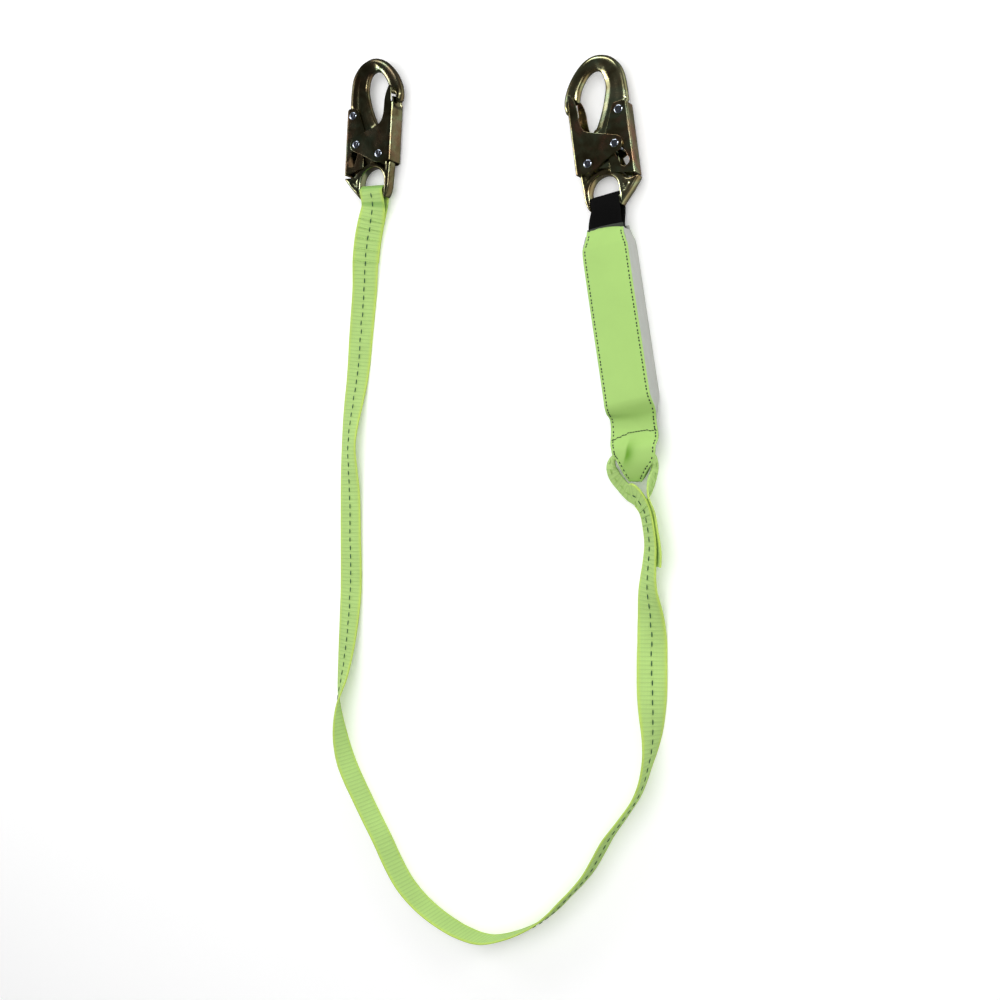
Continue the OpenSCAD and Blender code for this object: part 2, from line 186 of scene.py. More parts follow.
def weave_route(tree):
    """The map along and across a strap or a cloth."""
    return node(tree, "ShaderNodeUVMap", uv_map="weave").outputs["UV"]


FLOAT, COLOUR, VECTOR = "NodeSocketFloat", "NodeSocketColor", "NodeSocketVector"


def chromate_group():
    """Yellow chromate film: patches of olive, brown, green and rose, and a cloudy gloss."""
    tree, given, out = group(
        "Chromate film",
        [("Vector", VECTOR, None), ("Patch Scale", FLOAT, 60.0), ("Brightness", FLOAT, 1.0),
         ("Rose", FLOAT, 0.5)],
        [("Color", COLOUR), ("Roughness", FLOAT), ("Height", FLOAT)])
    clouds = node(tree, "ShaderNodeTexNoise", {
        "Vector": given.outputs["Vector"], "Scale": given.outputs["Patch Scale"],
        "Detail": 3.0, "Roughness": 0.55, "Distortion": 0.6})
    film = ramp(tree, clouds.outputs["Fac"], [
        (0.30, (0.12, 0.095, 0.045)), (0.42, (0.17, 0.15, 0.075)), (0.52, (0.22, 0.22, 0.12)),
        (0.62, (0.23, 0.28, 0.17)), (0.74, (0.33, 0.33, 0.20))])
    wide = node(tree, "ShaderNodeTexNoise", {
        "Vector": given.outputs["Vector"], "Detail": 2.0, "Distortion": 1.2,
        "Scale": maths(tree, "MULTIPLY", given.outputs["Patch Scale"], 0.6)})
    rosy = maths(tree, "MULTIPLY", ramp(tree, wide.outputs["Fac"], [
        (0.48, (0, 0, 0)), (0.66, (1, 1, 1))]), given.outputs["Rose"])
    tinted = blended(tree, rosy, film, (0.26, 0.13, 0.085))
    fine = node(tree, "ShaderNodeTexNoise", {"Vector": given.outputs["Vector"],
                "Scale": 900.0, "Detail": 2.0})
    pits = ramp(tree, fine.outputs["Fac"], [(0.30, (0.55, 0.55, 0.55)), (0.5, (1, 1, 1))])
    speckled = blended(tree, 0.5, tinted, pits, "MULTIPLY")
    tree.links.new(scaled(tree, speckled, given.outputs["Brightness"]), out.inputs["Color"])
    gloss = node(tree, "ShaderNodeMapRange", {"Value": wide.outputs["Fac"], "From Min": 0.3,
                 "From Max": 0.7, "To Min": 0.15, "To Max": 0.30})
    tree.links.new(gloss.outputs[0], out.inputs["Roughness"])
    tree.links.new(fine.outputs["Fac"], out.inputs["Height"])
    return tree


def weave_group():
    """Plain weave along a strap's own map: yarn heights, and a mask of the gaps between them."""
    tree, given, out = group(
        "Plain weave",
        [("Vector", VECTOR, None), ("Yarn Along", FLOAT, 0.0012), ("Yarn Across", FLOAT, 0.001)],
        [("Height", FLOAT), ("Gaps", FLOAT)])
    parts = node(tree, "ShaderNodeSeparateXYZ", {0: given.outputs["Vector"]})
    u = maths(tree, "DIVIDE", parts.outputs["X"], given.outputs["Yarn Along"])
    v = maths(tree, "DIVIDE", parts.outputs["Y"], given.outputs["Yarn Across"])
    shifted = maths(tree, "ADD", u, maths(tree, "MULTIPLY", maths(tree, "FLOOR", v), 0.5))
    height = maths(tree, "MULTIPLY", maths(tree, "POWER", humps(tree, shifted), 0.5),
                   maths(tree, "POWER", humps(tree, v), 0.6))
    tree.links.new(height, out.inputs["Height"])
    gaps = node(tree, "ShaderNodeMapRange", {"Value": height, "From Min": 0.05, "From Max": 0.55,
                "To Min": 1.0, "To Max": 0.0})
    tree.links.new(gaps.outputs[0], out.inputs["Gaps"])
    return tree


def handling_group():
    """Soft uneven tone of cloth that has been folded and handled."""
    tree, given, out = group(
        "Handled tone",
        [("Vector", VECTOR, None), ("Scale", FLOAT, 18.0), ("Amount", FLOAT, 0.12)],
        [("Tone", FLOAT), ("Height", FLOAT)])
    broad = node(tree, "ShaderNodeTexNoise", {"Vector": given.outputs["Vector"],
                 "Scale": given.outputs["Scale"], "Detail": 4.0, "Roughness": 0.55})
    centred = maths(tree, "SUBTRACT", broad.outputs["Fac"], 0.5)
    tone = maths(tree, "ADD", maths(tree, "MULTIPLY", centred, given.outputs["Amount"]), 1.0)
    tree.links.new(tone, out.inputs["Tone"])
    tree.links.new(broad.outputs["Fac"], out.inputs["Height"])
    return tree


def material(name, metallic=0.0, roughness=0.5, sheen=0.0, sheen_tint=(1, 1, 1), specular=0.5):
    made = bpy.data.materials.new(name)
    made.use_nodes = True
    shader = made.node_tree.nodes["Principled BSDF"]
    for key, value in (("Metallic", metallic), ("Roughness", roughness), ("Sheen Weight", sheen),
                       ("Sheen Tint", (*sheen_tint, 1)), ("Specular IOR Level", specular)):
        shader.inputs[key].default_value = value
    if sheen:
        shader.inputs["Sheen Roughness"].default_value = 0.4
    return made, made.node_tree, shader


def use_group(tree, made, values):
    return node(tree, "ShaderNodeGroup", values, node_tree=made)


def bumped(tree, shader, height, distance, strength):
    bump = node(tree, "ShaderNodeBump", {"Height": height, "Distance": distance,
                "Strength": strength})
    tree.links.new(bump.outputs["Normal"], shader.inputs["Normal"])


def scaled(tree, colour, factor):
    """A colour times a number from a socket."""
    made = node(tree, "ShaderNodeVectorMath", {0: colour, "Scale": factor}, operation="SCALE")
    return made.outputs[0]


CHROMATE, WEAVE, HANDLING = chromate_group(), weave_group(), handling_group()


def chromate_material(name, patches, brightness, rose):
    made, tree, shader = material(name, metallic=1.0)
    film = use_group(tree, CHROMATE, {"Vector": object_place(tree), "Patch Scale": patches,
                     "Brightness": brightness, "Rose": rose})
    tree.links.new(film.outputs["Color"], shader.inputs["Base Color"])
    tree.links.new(film.outputs["Roughness"], shader.inputs["Roughness"])
    bumped(tree, shader, film.outputs["Height"], 0.00006, 0.5)
    return made


def steel_material(name, colour, roughness):
    made, tree, shader = material(name, metallic=1.0, roughness=roughness)
    wear = node(tree, "ShaderNodeTexNoise", {"Vector": object_place(tree), "Scale": 700.0,
                "Detail": 3.0})
    tone = node(tree, "ShaderNodeMapRange", {"Value": wear.outputs["Fac"], "From Min": 0.3,
                "From Max": 0.7, "To Min": 0.75, "To Max": 1.1})
    base = node(tree, "ShaderNodeRGB")
    base.outputs[0].default_value = (*colour, 1)
    tree.links.new(scaled(tree, base.outputs[0], tone.outputs[0]), shader.inputs["Base Color"])
    bumped(tree, shader, wear.outputs["Fac"], 0.00004, 0.5)
    return made


def strap_material(name, light, dark, edge, half_width, yarn, sheen, rib=None, specular=0.3):
    """Woven strap: yarns along its own map, painted shade in the gaps between its yarns and its
    ribs and at its folds, and its selvedges' colour.
    """
    made, tree, shader = material(name, roughness=0.72, sheen=sheen, sheen_tint=light,
                                  specular=specular)
    route = weave_route(tree)
    yarns = use_group(tree, WEAVE, {"Vector": route, "Yarn Along": yarn[0],
                      "Yarn Across": yarn[1]})
    tone = use_group(tree, HANDLING, {"Vector": object_place(tree), "Scale": 22.0,
                     "Amount": 0.3})
    parts = node(tree, "ShaderNodeSeparateXYZ", {0: route})
    # Painted shade: the colour goes towards the dark colour in the gaps between yarns.
    colour = blended(tree, maths(tree, "MULTIPLY", yarns.outputs["Gaps"], 0.45), light, dark)
    # Painted shade in the grooves between the ribs.
    if rib:
        wave = humps(tree, parts.outputs["X"], math.pi / rib)
        groove = node(tree, "ShaderNodeMapRange", {"Value": wave, "From Min": 0.0,
                      "From Max": 0.6, "To Min": 0.55, "To Max": 0.0})
        colour = blended(tree, groove.outputs[0], colour, dark)
    outer = node(tree, "ShaderNodeMapRange", {
        "Value": maths(tree, "ABSOLUTE", parts.outputs["Y"]), "From Min": half_width * 0.72,
        "From Max": half_width * 0.95, "To Min": 0.0, "To Max": 0.65})
    colour = blended(tree, outer.outputs[0], colour, edge)
    # Painted shade at folds, where the mesh's shade attribute is set.
    folds = node(tree, "ShaderNodeAttribute", attribute_name="painted_shade").outputs["Fac"]
    colour = blended(tree, folds, colour, [c * f for c, f in zip(dark, (0.6, 0.8, 0.5))])
    tree.links.new(scaled(tree, colour, tone.outputs["Tone"]), shader.inputs["Base Color"])
    bumped(tree, shader, yarns.outputs["Height"], 0.00012, 0.8)
    return made


def cloth_material(name, colour, shade, roughness, sheen, thread_pitch, wrinkle):
    """Smooth coated cloth: a fine thread grain, soft wrinkles and an uneven tone, with painted
    shade in the gaps between threads and where the mesh marks creases.
    """
    made, tree, shader = material(name, roughness=roughness, sheen=sheen, sheen_tint=colour,
                                  specular=0.35)
    route = weave_route(tree)
    yarns = use_group(tree, WEAVE, {"Vector": route, "Yarn Along": thread_pitch,
                      "Yarn Across": thread_pitch})
    tone = use_group(tree, HANDLING, {"Vector": object_place(tree), "Scale": 26.0,
                     "Amount": 0.16})
    # Painted shade: darker in the gaps between threads.
    base = blended(tree, maths(tree, "MULTIPLY", yarns.outputs["Gaps"], 0.3), colour, shade)
    # Painted shade in creases and at the step, where the mesh's shade attribute is set.
    folds = node(tree, "ShaderNodeAttribute", attribute_name="painted_shade").outputs["Fac"]
    base = blended(tree, folds, base, [c * f for c, f in zip(shade, (0.42, 0.62, 0.12))])
    tree.links.new(scaled(tree, base, tone.outputs["Tone"]), shader.inputs["Base Color"])
    height = maths(tree, "ADD", maths(tree, "MULTIPLY", yarns.outputs["Height"], 0.06),
                   maths(tree, "MULTIPLY", tone.outputs["Height"], wrinkle))
    bumped(tree, shader, height, 0.001, 0.7)
    return made


def thread_material(name, colour, shade):
    made, tree, shader = material(name, roughness=0.6, sheen=0.2)
    twist = node(tree, "ShaderNodeTexWave", {"Vector": object_place(tree), "Scale": 900.0,
                 "Distortion": 2.0}, bands_direction="DIAGONAL")
    tree.links.new(blended(tree, twist.outputs["Fac"], shade, colour),
                   shader.inputs["Base Color"])
    bumped(tree, shader, twist.outputs["Fac"], 0.0001, 0.6)
    return made


RIB_PITCH = 3.8
LEG_W, LEG_T = 27.0, 2.2
# Hook A's films are darker copies of hook B's: the difference is painted shade, since both hooks
# are the same part.
FORGING = {"a": chromate_material("dark olive chromate on forging", 45.0, 1.0, 0.5),
           "b": chromate_material("olive chromate on forging", 45.0, 2.1, 0.3)}
PRESSING = {"a": chromate_material("darkest chromate on pressed sheet", 60.0, 0.9, 0.5),
            "b": chromate_material("dark chromate on pressed sheet", 60.0, 1.5, 0.8)}
RIVET_STEEL = steel_material("bright zinc rivet", (0.50, 0.56, 0.68), 0.2)
SPRING_STEEL = steel_material("spring wire", (0.42, 0.42, 0.40), 0.3)
HIVIS = strap_material("high visibility webbing", (0.45, 0.665, 0.205), (0.28, 0.47, 0.14),
                       (0.53, 0.70, 0.095), LEG_W / 2 * MM, (0.0019, 0.00135), 0.2,
                       RIB_PITCH * MM)
BLACK_WEBBING = strap_material("black webbing", (0.004, 0.004, 0.004), (0.0015, 0.0015, 0.0015),
                               (0.005, 0.005, 0.005), 0.015, (0.0017, 0.0013), 0.0,
                               specular=0.04)
WHITE_WEBBING = strap_material("white tear webbing", (0.75, 0.75, 0.72), (0.5, 0.5, 0.48),
                               (0.7, 0.7, 0.68), 0.017, (0.0017, 0.0013), 0.2)
COVER_CLOTH = cloth_material("high visibility cover cloth", (0.395, 0.635, 0.172),
                             (0.30, 0.53, 0.11), 0.55, 0.15, 0.0006, 0.35)
SIDE_CLOTH = cloth_material("grey side cloth", (0.44, 0.455, 0.42), (0.30, 0.31, 0.30),
                            0.7, 0.35, 0.0008, 0.3)
# A copy of the grey side cloth, painted near black as the shade inside the cover's mouth.
MOUTH_SHADE_CLOTH = cloth_material("grey side cloth painted dark as mouth shade", (0.035, 0.042, 0.032), (0.02, 0.026, 0.018),
                           0.7, 0.3, 0.0008, 0.25)
GREEN_THREAD = thread_material("dark green thread", (0.03, 0.13, 0.05), (0.01, 0.05, 0.018))
SEAM_THREAD = thread_material("darkest green thread", (0.012, 0.045, 0.012), (0.004, 0.016, 0.004))
LIME_THREAD = thread_material("lime thread", (0.42, 0.64, 0.17), (0.30, 0.50, 0.12))
BLACK_THREAD = thread_material("black thread", (0.02, 0.02, 0.02), (0.005, 0.005, 0.005))


# ------------------------------------------------------------------ vectors, curves and meshes
def unit(v):
    v = np.asarray(v, float)
    return v / np.maximum(np.linalg.norm(v, axis=-1, keepdims=True), 1e-12)


def smooth(rows, steps):
    """Smooth curve through rows of numbers, with that many steps between two of them."""
    rows = np.asarray(rows, float)
    last = len(rows) - 1
    out = []
    for i in range(last):
        a, b, c, d = (rows[j] for j in (max(i - 1, 0), i, i + 1, min(i + 2, last)))
        for k in range(steps):
            t = k / steps
            out.append(0.5 * (2 * b + (c - a) * t + (2 * a - 5 * b + 4 * c - d) * t * t
                              + (3 * b - a - 3 * c + d) * t ** 3))
    return np.array(out + [rows[-1]])


def distances(points):
    """Distance of each point along the line through them."""
    return np.concatenate([[0], np.cumsum(np.linalg.norm(np.diff(points, axis=0), axis=1))])


def evenly(rows, step):
    """The rows again, a step apart along their first three columns, and their distances."""
    along = distances(rows[:, :3])
    at = np.linspace(0, along[-1], max(2, round(along[-1] / step) + 1))
    return np.stack([np.interp(at, along, column) for column in rows.T], axis=1), at


def add_mesh(name, points, faces, finish):
    """A mesh object from points in millimetres."""
    mesh = bpy.data.meshes.new(name)
    mesh.from_pydata((np.asarray(points, float) * MM).tolist(), [], faces)
    mesh.materials.append(finish)
    mesh.polygons.foreach_set("use_smooth", [True] * len(mesh.polygons))
    mesh.update()
    piece = bpy.data.objects.new(name, mesh)
    scene.collection.objects.link(piece)
    return piece


def join_mesh(parts):
    """Several (points, faces) as one."""
    points, faces, count = [], [], 0
    for p, f in parts:
        points.append(np.asarray(p, float))
        faces += [tuple(i + count for i in face) for face in f]
        count += len(p)
    return np.vstack(points), faces


def ring_faces(rings, count):
    """Faces round a strap or a wire made of rings of that many points, and its two ends."""
    around = [(i * count + j, (i + 1) * count + j, (i + 1) * count + (j + 1) % count,
               i * count + (j + 1) % count)
              for i in range(rings - 1) for j in range(count)]
    return around + [tuple(range(count)),
                     tuple((rings - 1) * count + j for j in reversed(range(count)))]


def frame_along(points, sides):
    """Run, across and face directions of a band at each of its rings."""
    run = unit(np.gradient(points, axis=0))
    across = unit(sides - (sides * run).sum(1)[:, None] * run)
    return run, across, np.cross(across, run)


def band_ring(columns):
    """Cross-section of a band with round edges: share of the half width, share of the half
    thickness, and whether the point is on an edge."""
    flat = np.linspace(-1, 1, columns)
    top = [(a, 1.0, 0) for a in flat]
    right = [(1.0, b, 1) for b in (0.55, -0.55)]
    return np.array(top + right + [(-a, -b, e) for a, b, e in top + right])


def band(name, points, sides, widths, depths, finish, columns, shape=None):
    """A closed strap along points, with round edges and its own map: distance along, and
    distance across. shape(along, across) moves its face out."""
    _, across, face = frame_along(points, sides)
    ring = band_ring(columns)
    half = np.asarray(widths)[:, None] / 2
    deep = np.asarray(depths)[:, None] / 2
    inset = np.where(ring[:, 2] > 0, 0.0, deep * 0.55)
    reach = ring[:, 0] * half - np.sign(ring[:, 0]) * np.minimum(inset, half * 0.2) * (
        np.abs(ring[:, 0]) ** 6)
    along = distances(points)
    rise = ring[:, 1] * deep
    if shape is not None:
        rise = rise + np.where(ring[:, 2] > 0, 0.0, np.sign(ring[:, 1])) * shape(
            along[:, None], reach)
    places = (points[:, None] + reach[..., None] * across[:, None]
              + rise[..., None] * face[:, None])
    piece = add_mesh(name, places.reshape(-1, 3), ring_faces(len(points), len(ring)), finish)
    piece.data.polygons[-1].use_smooth = piece.data.polygons[-2].use_smooth = False
    add_weave_map(piece, np.repeat(along, len(ring)), reach.reshape(-1))
    return piece


def add_weave_map(piece, along, across):
    """The map that the weave follows, in metres."""
    corner = np.zeros(len(piece.data.loops), int)
    piece.data.loops.foreach_get("vertex_index", corner)
    layer = piece.data.uv_layers.new(name="weave")
    layer.data.foreach_set("uv", (np.stack([along[corner], across[corner]], 1) * MM).ravel())


# ------------------------------------------------------------------ node trees for repeats
def node_tree(name, inputs):
    """A Geometry Nodes tree with a geometry input and named inputs."""
    shape = ("Geometry", "NodeSocketGeometry")
    return group(name, [(*shape, None), *inputs], [shape], "GeometryNodeTree")


def painted(tree, out, shape, paint):
    """The end of each tree: Realize Instances and Set Material."""
    real = node(tree, "GeometryNodeRealizeInstances", {0: shape.outputs[0]})
    made = node(tree, "GeometryNodeSetMaterial", {"Geometry": real.outputs[0],
                "Material": paint})
    tree.links.new(made.outputs[0], out.inputs[0])
    return tree


def attribute(tree, name, kind="FLOAT_VECTOR"):
    made = node(tree, "GeometryNodeInputNamedAttribute", {"Name": name}, data_type=kind)
    return made.outputs["Attribute"]


def stitches_tree():
    """One raised stitch at each point, turned along its run and its outward direction."""
    tree, given, out = node_tree("Stitches", [
        ("Length", FLOAT, 0.004), ("Width", FLOAT, 0.001), ("Height", FLOAT, 0.0008),
        ("Thread", "NodeSocketMaterial", None)])
    stitch = node(tree, "GeometryNodeMeshUVSphere", {"Segments": 8, "Rings": 6, "Radius": 0.5})
    rounded = node(tree, "GeometryNodeSetShadeSmooth", {"Geometry": stitch.outputs["Mesh"]})
    turn = node(tree, "FunctionNodeAxesToRotation", {
        "Primary Axis": attribute(tree, "out"), "Secondary Axis": attribute(tree, "run")})
    turn.primary_axis, turn.secondary_axis = "Z", "X"
    size = node(tree, "ShaderNodeCombineXYZ", {"X": given.outputs["Length"],
                "Y": given.outputs["Width"], "Z": given.outputs["Height"]})
    placed = node(tree, "GeometryNodeInstanceOnPoints", {
        "Points": given.outputs["Geometry"], "Instance": rounded.outputs[0],
        "Rotation": turn.outputs[0], "Scale": size.outputs[0]})
    return painted(tree, out, placed, given.outputs["Thread"])


def ribs_tree():
    """Raises the cross ribs of webbing out of its faces, fading at the selvedges."""
    tree, given, out = node_tree("Webbing ribs", [
        ("Pitch", FLOAT, 0.0038), ("Rise", FLOAT, 0.0003), ("Bow", FLOAT, 8.0),
        ("Webbing", "NodeSocketMaterial", None)])
    across = attribute(tree, "across", "FLOAT")
    along = maths(tree, "ADD", attribute(tree, "along", "FLOAT"), maths(
        tree, "MULTIPLY", maths(tree, "MULTIPLY", across, across), given.outputs["Bow"]))
    wave = humps(tree, maths(tree, "DIVIDE", along, given.outputs["Pitch"]))
    rise = maths(tree, "MULTIPLY", maths(tree, "POWER", wave, 0.6), given.outputs["Rise"])
    offset = node(tree, "ShaderNodeVectorMath", {0: attribute(tree, "out"), "Scale": rise},
                  operation="SCALE")
    moved = node(tree, "GeometryNodeSetPosition", {
        "Geometry": given.outputs["Geometry"], "Offset": offset.outputs[0]})
    return painted(tree, out, moved, given.outputs["Webbing"])


def spring_tree():
    """Round wire wound into a coil along Z."""
    tree, given, out = node_tree("Wound spring", [
        ("Turns", FLOAT, 5.0), ("Coil Radius", FLOAT, 0.0025), ("Length", FLOAT, 0.012),
        ("Wire Radius", FLOAT, 0.0005), ("Wire", "NodeSocketMaterial", None)])
    coil = node(tree, "GeometryNodeCurveSpiral", {
        "Resolution": 24, "Rotations": given.outputs["Turns"],
        "Start Radius": given.outputs["Coil Radius"], "End Radius": given.outputs["Coil Radius"],
        "Height": given.outputs["Length"]})
    wire = node(tree, "GeometryNodeCurvePrimitiveCircle", {
        "Resolution": 10, "Radius": given.outputs["Wire Radius"]})
    body = node(tree, "GeometryNodeCurveToMesh", {
        "Curve": coil.outputs[0], "Profile Curve": wire.outputs[0], "Fill Caps": True})
    rounded = node(tree, "GeometryNodeSetShadeSmooth", {"Geometry": body.outputs[0]})
    return painted(tree, out, rounded, given.outputs["Wire"])


STITCHES, RIBS, WOUND_SPRING = stitches_tree(), ribs_tree(), spring_tree()


def grown(piece, tree, values):
    """The piece as a node tree makes it, as a plain mesh with no modifier left."""
    made = piece.modifiers.new("made", "NODES")
    made.node_group = tree
    for socket in tree.interface.items_tree:
        if socket.in_out == "INPUT" and socket.name in values:
            made[socket.identifier] = values[socket.name]
    ready = piece.evaluated_get(bpy.context.evaluated_depsgraph_get())
    mesh = bpy.data.meshes.new_from_object(ready)
    piece.modifiers.clear()
    mesh.name = piece.name
    piece.data = mesh
    return piece


def store(piece, name, values):
    """Keeps a number or a vector at each point of a mesh."""
    values = np.asarray(values, float)
    kind = "FLOAT_VECTOR" if values.ndim == 2 else "FLOAT"
    made = piece.data.attributes.new(name, kind, "POINT")
    made.data.foreach_set("vector" if values.ndim == 2 else "value", values.ravel())


def stitch_row(name, places, runs, outs, size, thread):
    """Raised stitches, size = (length, width, height) in millimetres."""
    piece = add_mesh(name, places, [], thread)
    store(piece, "run", unit(runs))
    store(piece, "out", unit(outs))
    return grown(piece, STITCHES, {"Length": size[0] * MM, "Width": size[1] * MM,
                                   "Height": size[2] * MM, "Thread": thread})


def ride(piece, body, slot, *nodes):
    """Puts a finished piece on its body, and hides the CAD nodes that it stands for."""
    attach(piece, body)
    if nodes:
        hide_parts(*nodes)
    return piece


# ------------------------------------------------------------------ webbing leg
HOOK_Z = 11.62
BAR = {"a": np.array([-127.7, 295.3, HOOK_Z]), "b": np.array([128.2, 254.3, HOOK_Z])}
YAW = {"a": math.radians(-3.5), "b": math.radians(8)}
UP = np.array([0.0, 0.0, 1.0])

# x, y, roll of the webbing about its run (90 stands on its edge), lift above the surface
LEG_ROUTE = [
    (-127.7, 295.3, 0, 10.5), (-129, 282, -5, 7.2), (-133, 268, -20, 3.6),
    (-137.5, 250, -25, 2.2), (-141.5, 228, -20, 1.7), (-144.5, 203, -13, 0.5),
    (-149, 168, -9, 0.1), (-154, 126, -3, 0.1), (-159.5, 86, 10, 0.1), (-163.5, 44, 24, 0.1),
    (-164, -2, 9, 0.1), (-164, -52, 5, 0.1), (-164, -102, 3, 0.1), (-166.5, -152, 15, 0.1),
    (-169.5, -190, 34, 0.1), (-172.5, -216, 56, 0.1), (-169.5, -248, 82, 0.1),
    (-160.5, -278, 96, 0.1), (-142.5, -309, 97, 0.1), (-116.5, -349, 97, 0.1),
    (-89.5, -389, 97, 0.1), (-49.5, -416, 95, 0.1), (2.5, -427, 91, 0.1), (55.5, -404, 90, 0.1),
    (86.5, -375, 90, 0.1), (110.5, -347, 90, 0.1), (129.5, -314, 90, 0.1),
    (155.5, -277, 95, 0.1), (166.5, -248, 93, 0.1), (171.5, -217, 71, 0.1),
    (169, -170, 26, 0.1), (167.5, -136, 8, 0.1), (165.7, -94, -29, 0.1),
    (167.4, -73, -41, 0.1), (169, -52, -46, 0.1), (166.9, -34, -47, 0.1),
    (163.3, -20, -47, 0.1), (155.3, -9, -44, 0.1)]
# The loop through the absorber's end, with its width and thickness where it is bunched
LOOP_ROUTE = [
    (146.2, -5.5, -35, 0.2, 18, 2.6), (138.4, 2.4, -33, 0.3, 16.5, 3),
    (133.4, 9, -34, 1, 17, 3.4), (131.2, 17, -38, 2.2, 16.5, 4), (134.5, 25.5, -62, 3.2, 15, 4.4),
    (143.5, 30.8, -86, 3.8, 13.4, 4.4), (154.5, 31, -90, 3.8, 13.4, 4.4),
    (164, 30.8, -90, 3.8, 13.4, 4.4), (169.8, 26.5, -90, 2.5, 12.8, 4.4),
    (171.3, 18.5, -90, 0.7, 11.6, 4), (170.7, 11.5, -91, 0.3, 13.5, 3.6),
    (169.5, 4, -95, 0.2, 19, 2.8), (168.2, -7, -108, 0.1, 25, 2.3),
    (168.4, -18, -126, 0.1, 27, 2.2), (168.9, -27, -133, 0.1, 27, 2.2),
    (170.6, -38, -133, 0.1, 27, 2.2), (173, -51, -133, 0.1, 27, 2.2),
    (174, -61, -133, 0.1, 27, 2.2), (173.6, -70, -133, 0.1, 27, 2.2)]
ROUTE = smooth([(*row, LEG_W, LEG_T) for row in LEG_ROUTE] + LOOP_ROUTE, 2)
# Distance of each layer from the middle of the doubled webbing, from the eye bar onwards
WRAP_R = 5.95
LAYER_GAP = LEG_T / 2 + 0.15
SPREAD = [WRAP_R + 0.15, 4.9, 2.9, 1.8] + [LAYER_GAP] * 5 + [0.9, 0.45]
DOUBLED = 9
# Cells of the leg's mesh, and what its thickness leaves for the ribs
LEG_STEP, LEG_COLUMNS, RIB_ROOM = 0.66, 13, 0.5


def route_frames():
    """Middle of the webbing, its direction across, and its face, at each row of the route."""
    x, y, roll, lift, width, depth = ROUTE.T
    roll = np.radians(roll)
    middle = np.stack([x, y, width / 2 * np.abs(np.sin(roll)) + depth / 2 * np.abs(
        np.cos(roll)) + lift], 1)
    ahead = np.vstack([middle[1:], middle[-1:]]) - np.vstack([middle[:1], middle[:-1]])
    run = unit(ahead * (1, 1, 0))
    across = np.cos(roll)[:, None] * np.cross(run, UP) - np.sin(roll)[:, None] * UP
    return middle, across, np.cross(across, run)


def leg_rows():
    """Rows of the whole strap from its sewn end, round the eye bar and along to its tail:
    place, direction across, width and thickness."""
    middle, across, face = route_frames()
    spread = np.zeros(len(ROUTE))
    spread[:len(SPREAD)] = SPREAD
    beyond = np.cross(across[0], UP)
    turn = [middle[0] + WRAP_R * (math.cos(math.radians(a)) * beyond
                                  + math.sin(math.radians(a)) * UP)
            for a in range(-60, 61, 30)]
    back = list(range(DOUBLED - 1, -1, -1))
    front = middle + spread[:, None] * face
    places = np.vstack([middle[back] - spread[back, None] * face[back], turn, front])
    sides = np.vstack([across[back], np.tile(across[0], (len(turn), 1)), across])
    lead = len(back) + len(turn)
    sizes = np.vstack([np.tile((LEG_W, LEG_T), (lead, 1)), ROUTE[:, 4:]])
    return np.hstack([places, sides, sizes]), lead


def rib_shape(piece, ring):
    """Stores each point's way out for the rib tree, which fades towards the selvedges."""
    mesh = piece.data
    normals = np.zeros(len(mesh.vertices) * 3)
    mesh.vertices.foreach_get("normal", normals)
    fade = np.where(ring[:, 2] > 0, 0.15, 1 - 0.8 * np.abs(ring[:, 0]) ** 10)
    rings = len(mesh.vertices) // len(ring)
    store(piece, "out", normals.reshape(-1, 3) * np.tile(fade, rings)[:, None])


def build_leg():
    """The strap with its ribs, and its middle line, its length and its rows."""
    rows, lead = leg_rows()
    fine, along = evenly(smooth(rows, 10), LEG_STEP)
    leg = band("leg_strap", fine[:, :3], fine[:, 3:6], fine[:, 6], fine[:, 7] - RIB_ROOM, HIVIS,
               LEG_COLUMNS)
    ring = band_ring(LEG_COLUMNS)
    count = len(ring)
    rib_shape(leg, ring)
    store(leg, "along", np.repeat(along, count) * MM)
    store(leg, "across", np.tile(ring[:, 0], len(fine)) * np.repeat(fine[:, 6], count) / 2 * MM)
    # Painted shade: two dark bands across the strap near hook A's eye bar, where the webbing folds.
    y = np.repeat(fine[:, 1], count)
    near = np.repeat(fine[:, 0], count) < -100
    bands = 0.75 * np.exp(-((y - 299) / 2.6) ** 2) + 0.6 * np.exp(-((y - 283.5) / 2.4) ** 2)
    store(leg, "painted_shade", bands * near)
    grown(leg, RIBS, {"Pitch": RIB_PITCH * MM, "Rise": 0.28 * MM, "Bow": 3.0, "Webbing": HIVIS})
    ride(leg, "leg", "green_webbing", "leg_webbing")

    line, _ = evenly(smooth(route_frames()[0], 4), 6)
    length = float(np.linalg.norm(np.diff(line, axis=0), axis=1).sum()) * MM
    return leg, line * MM, round(length, 3), rows, lead


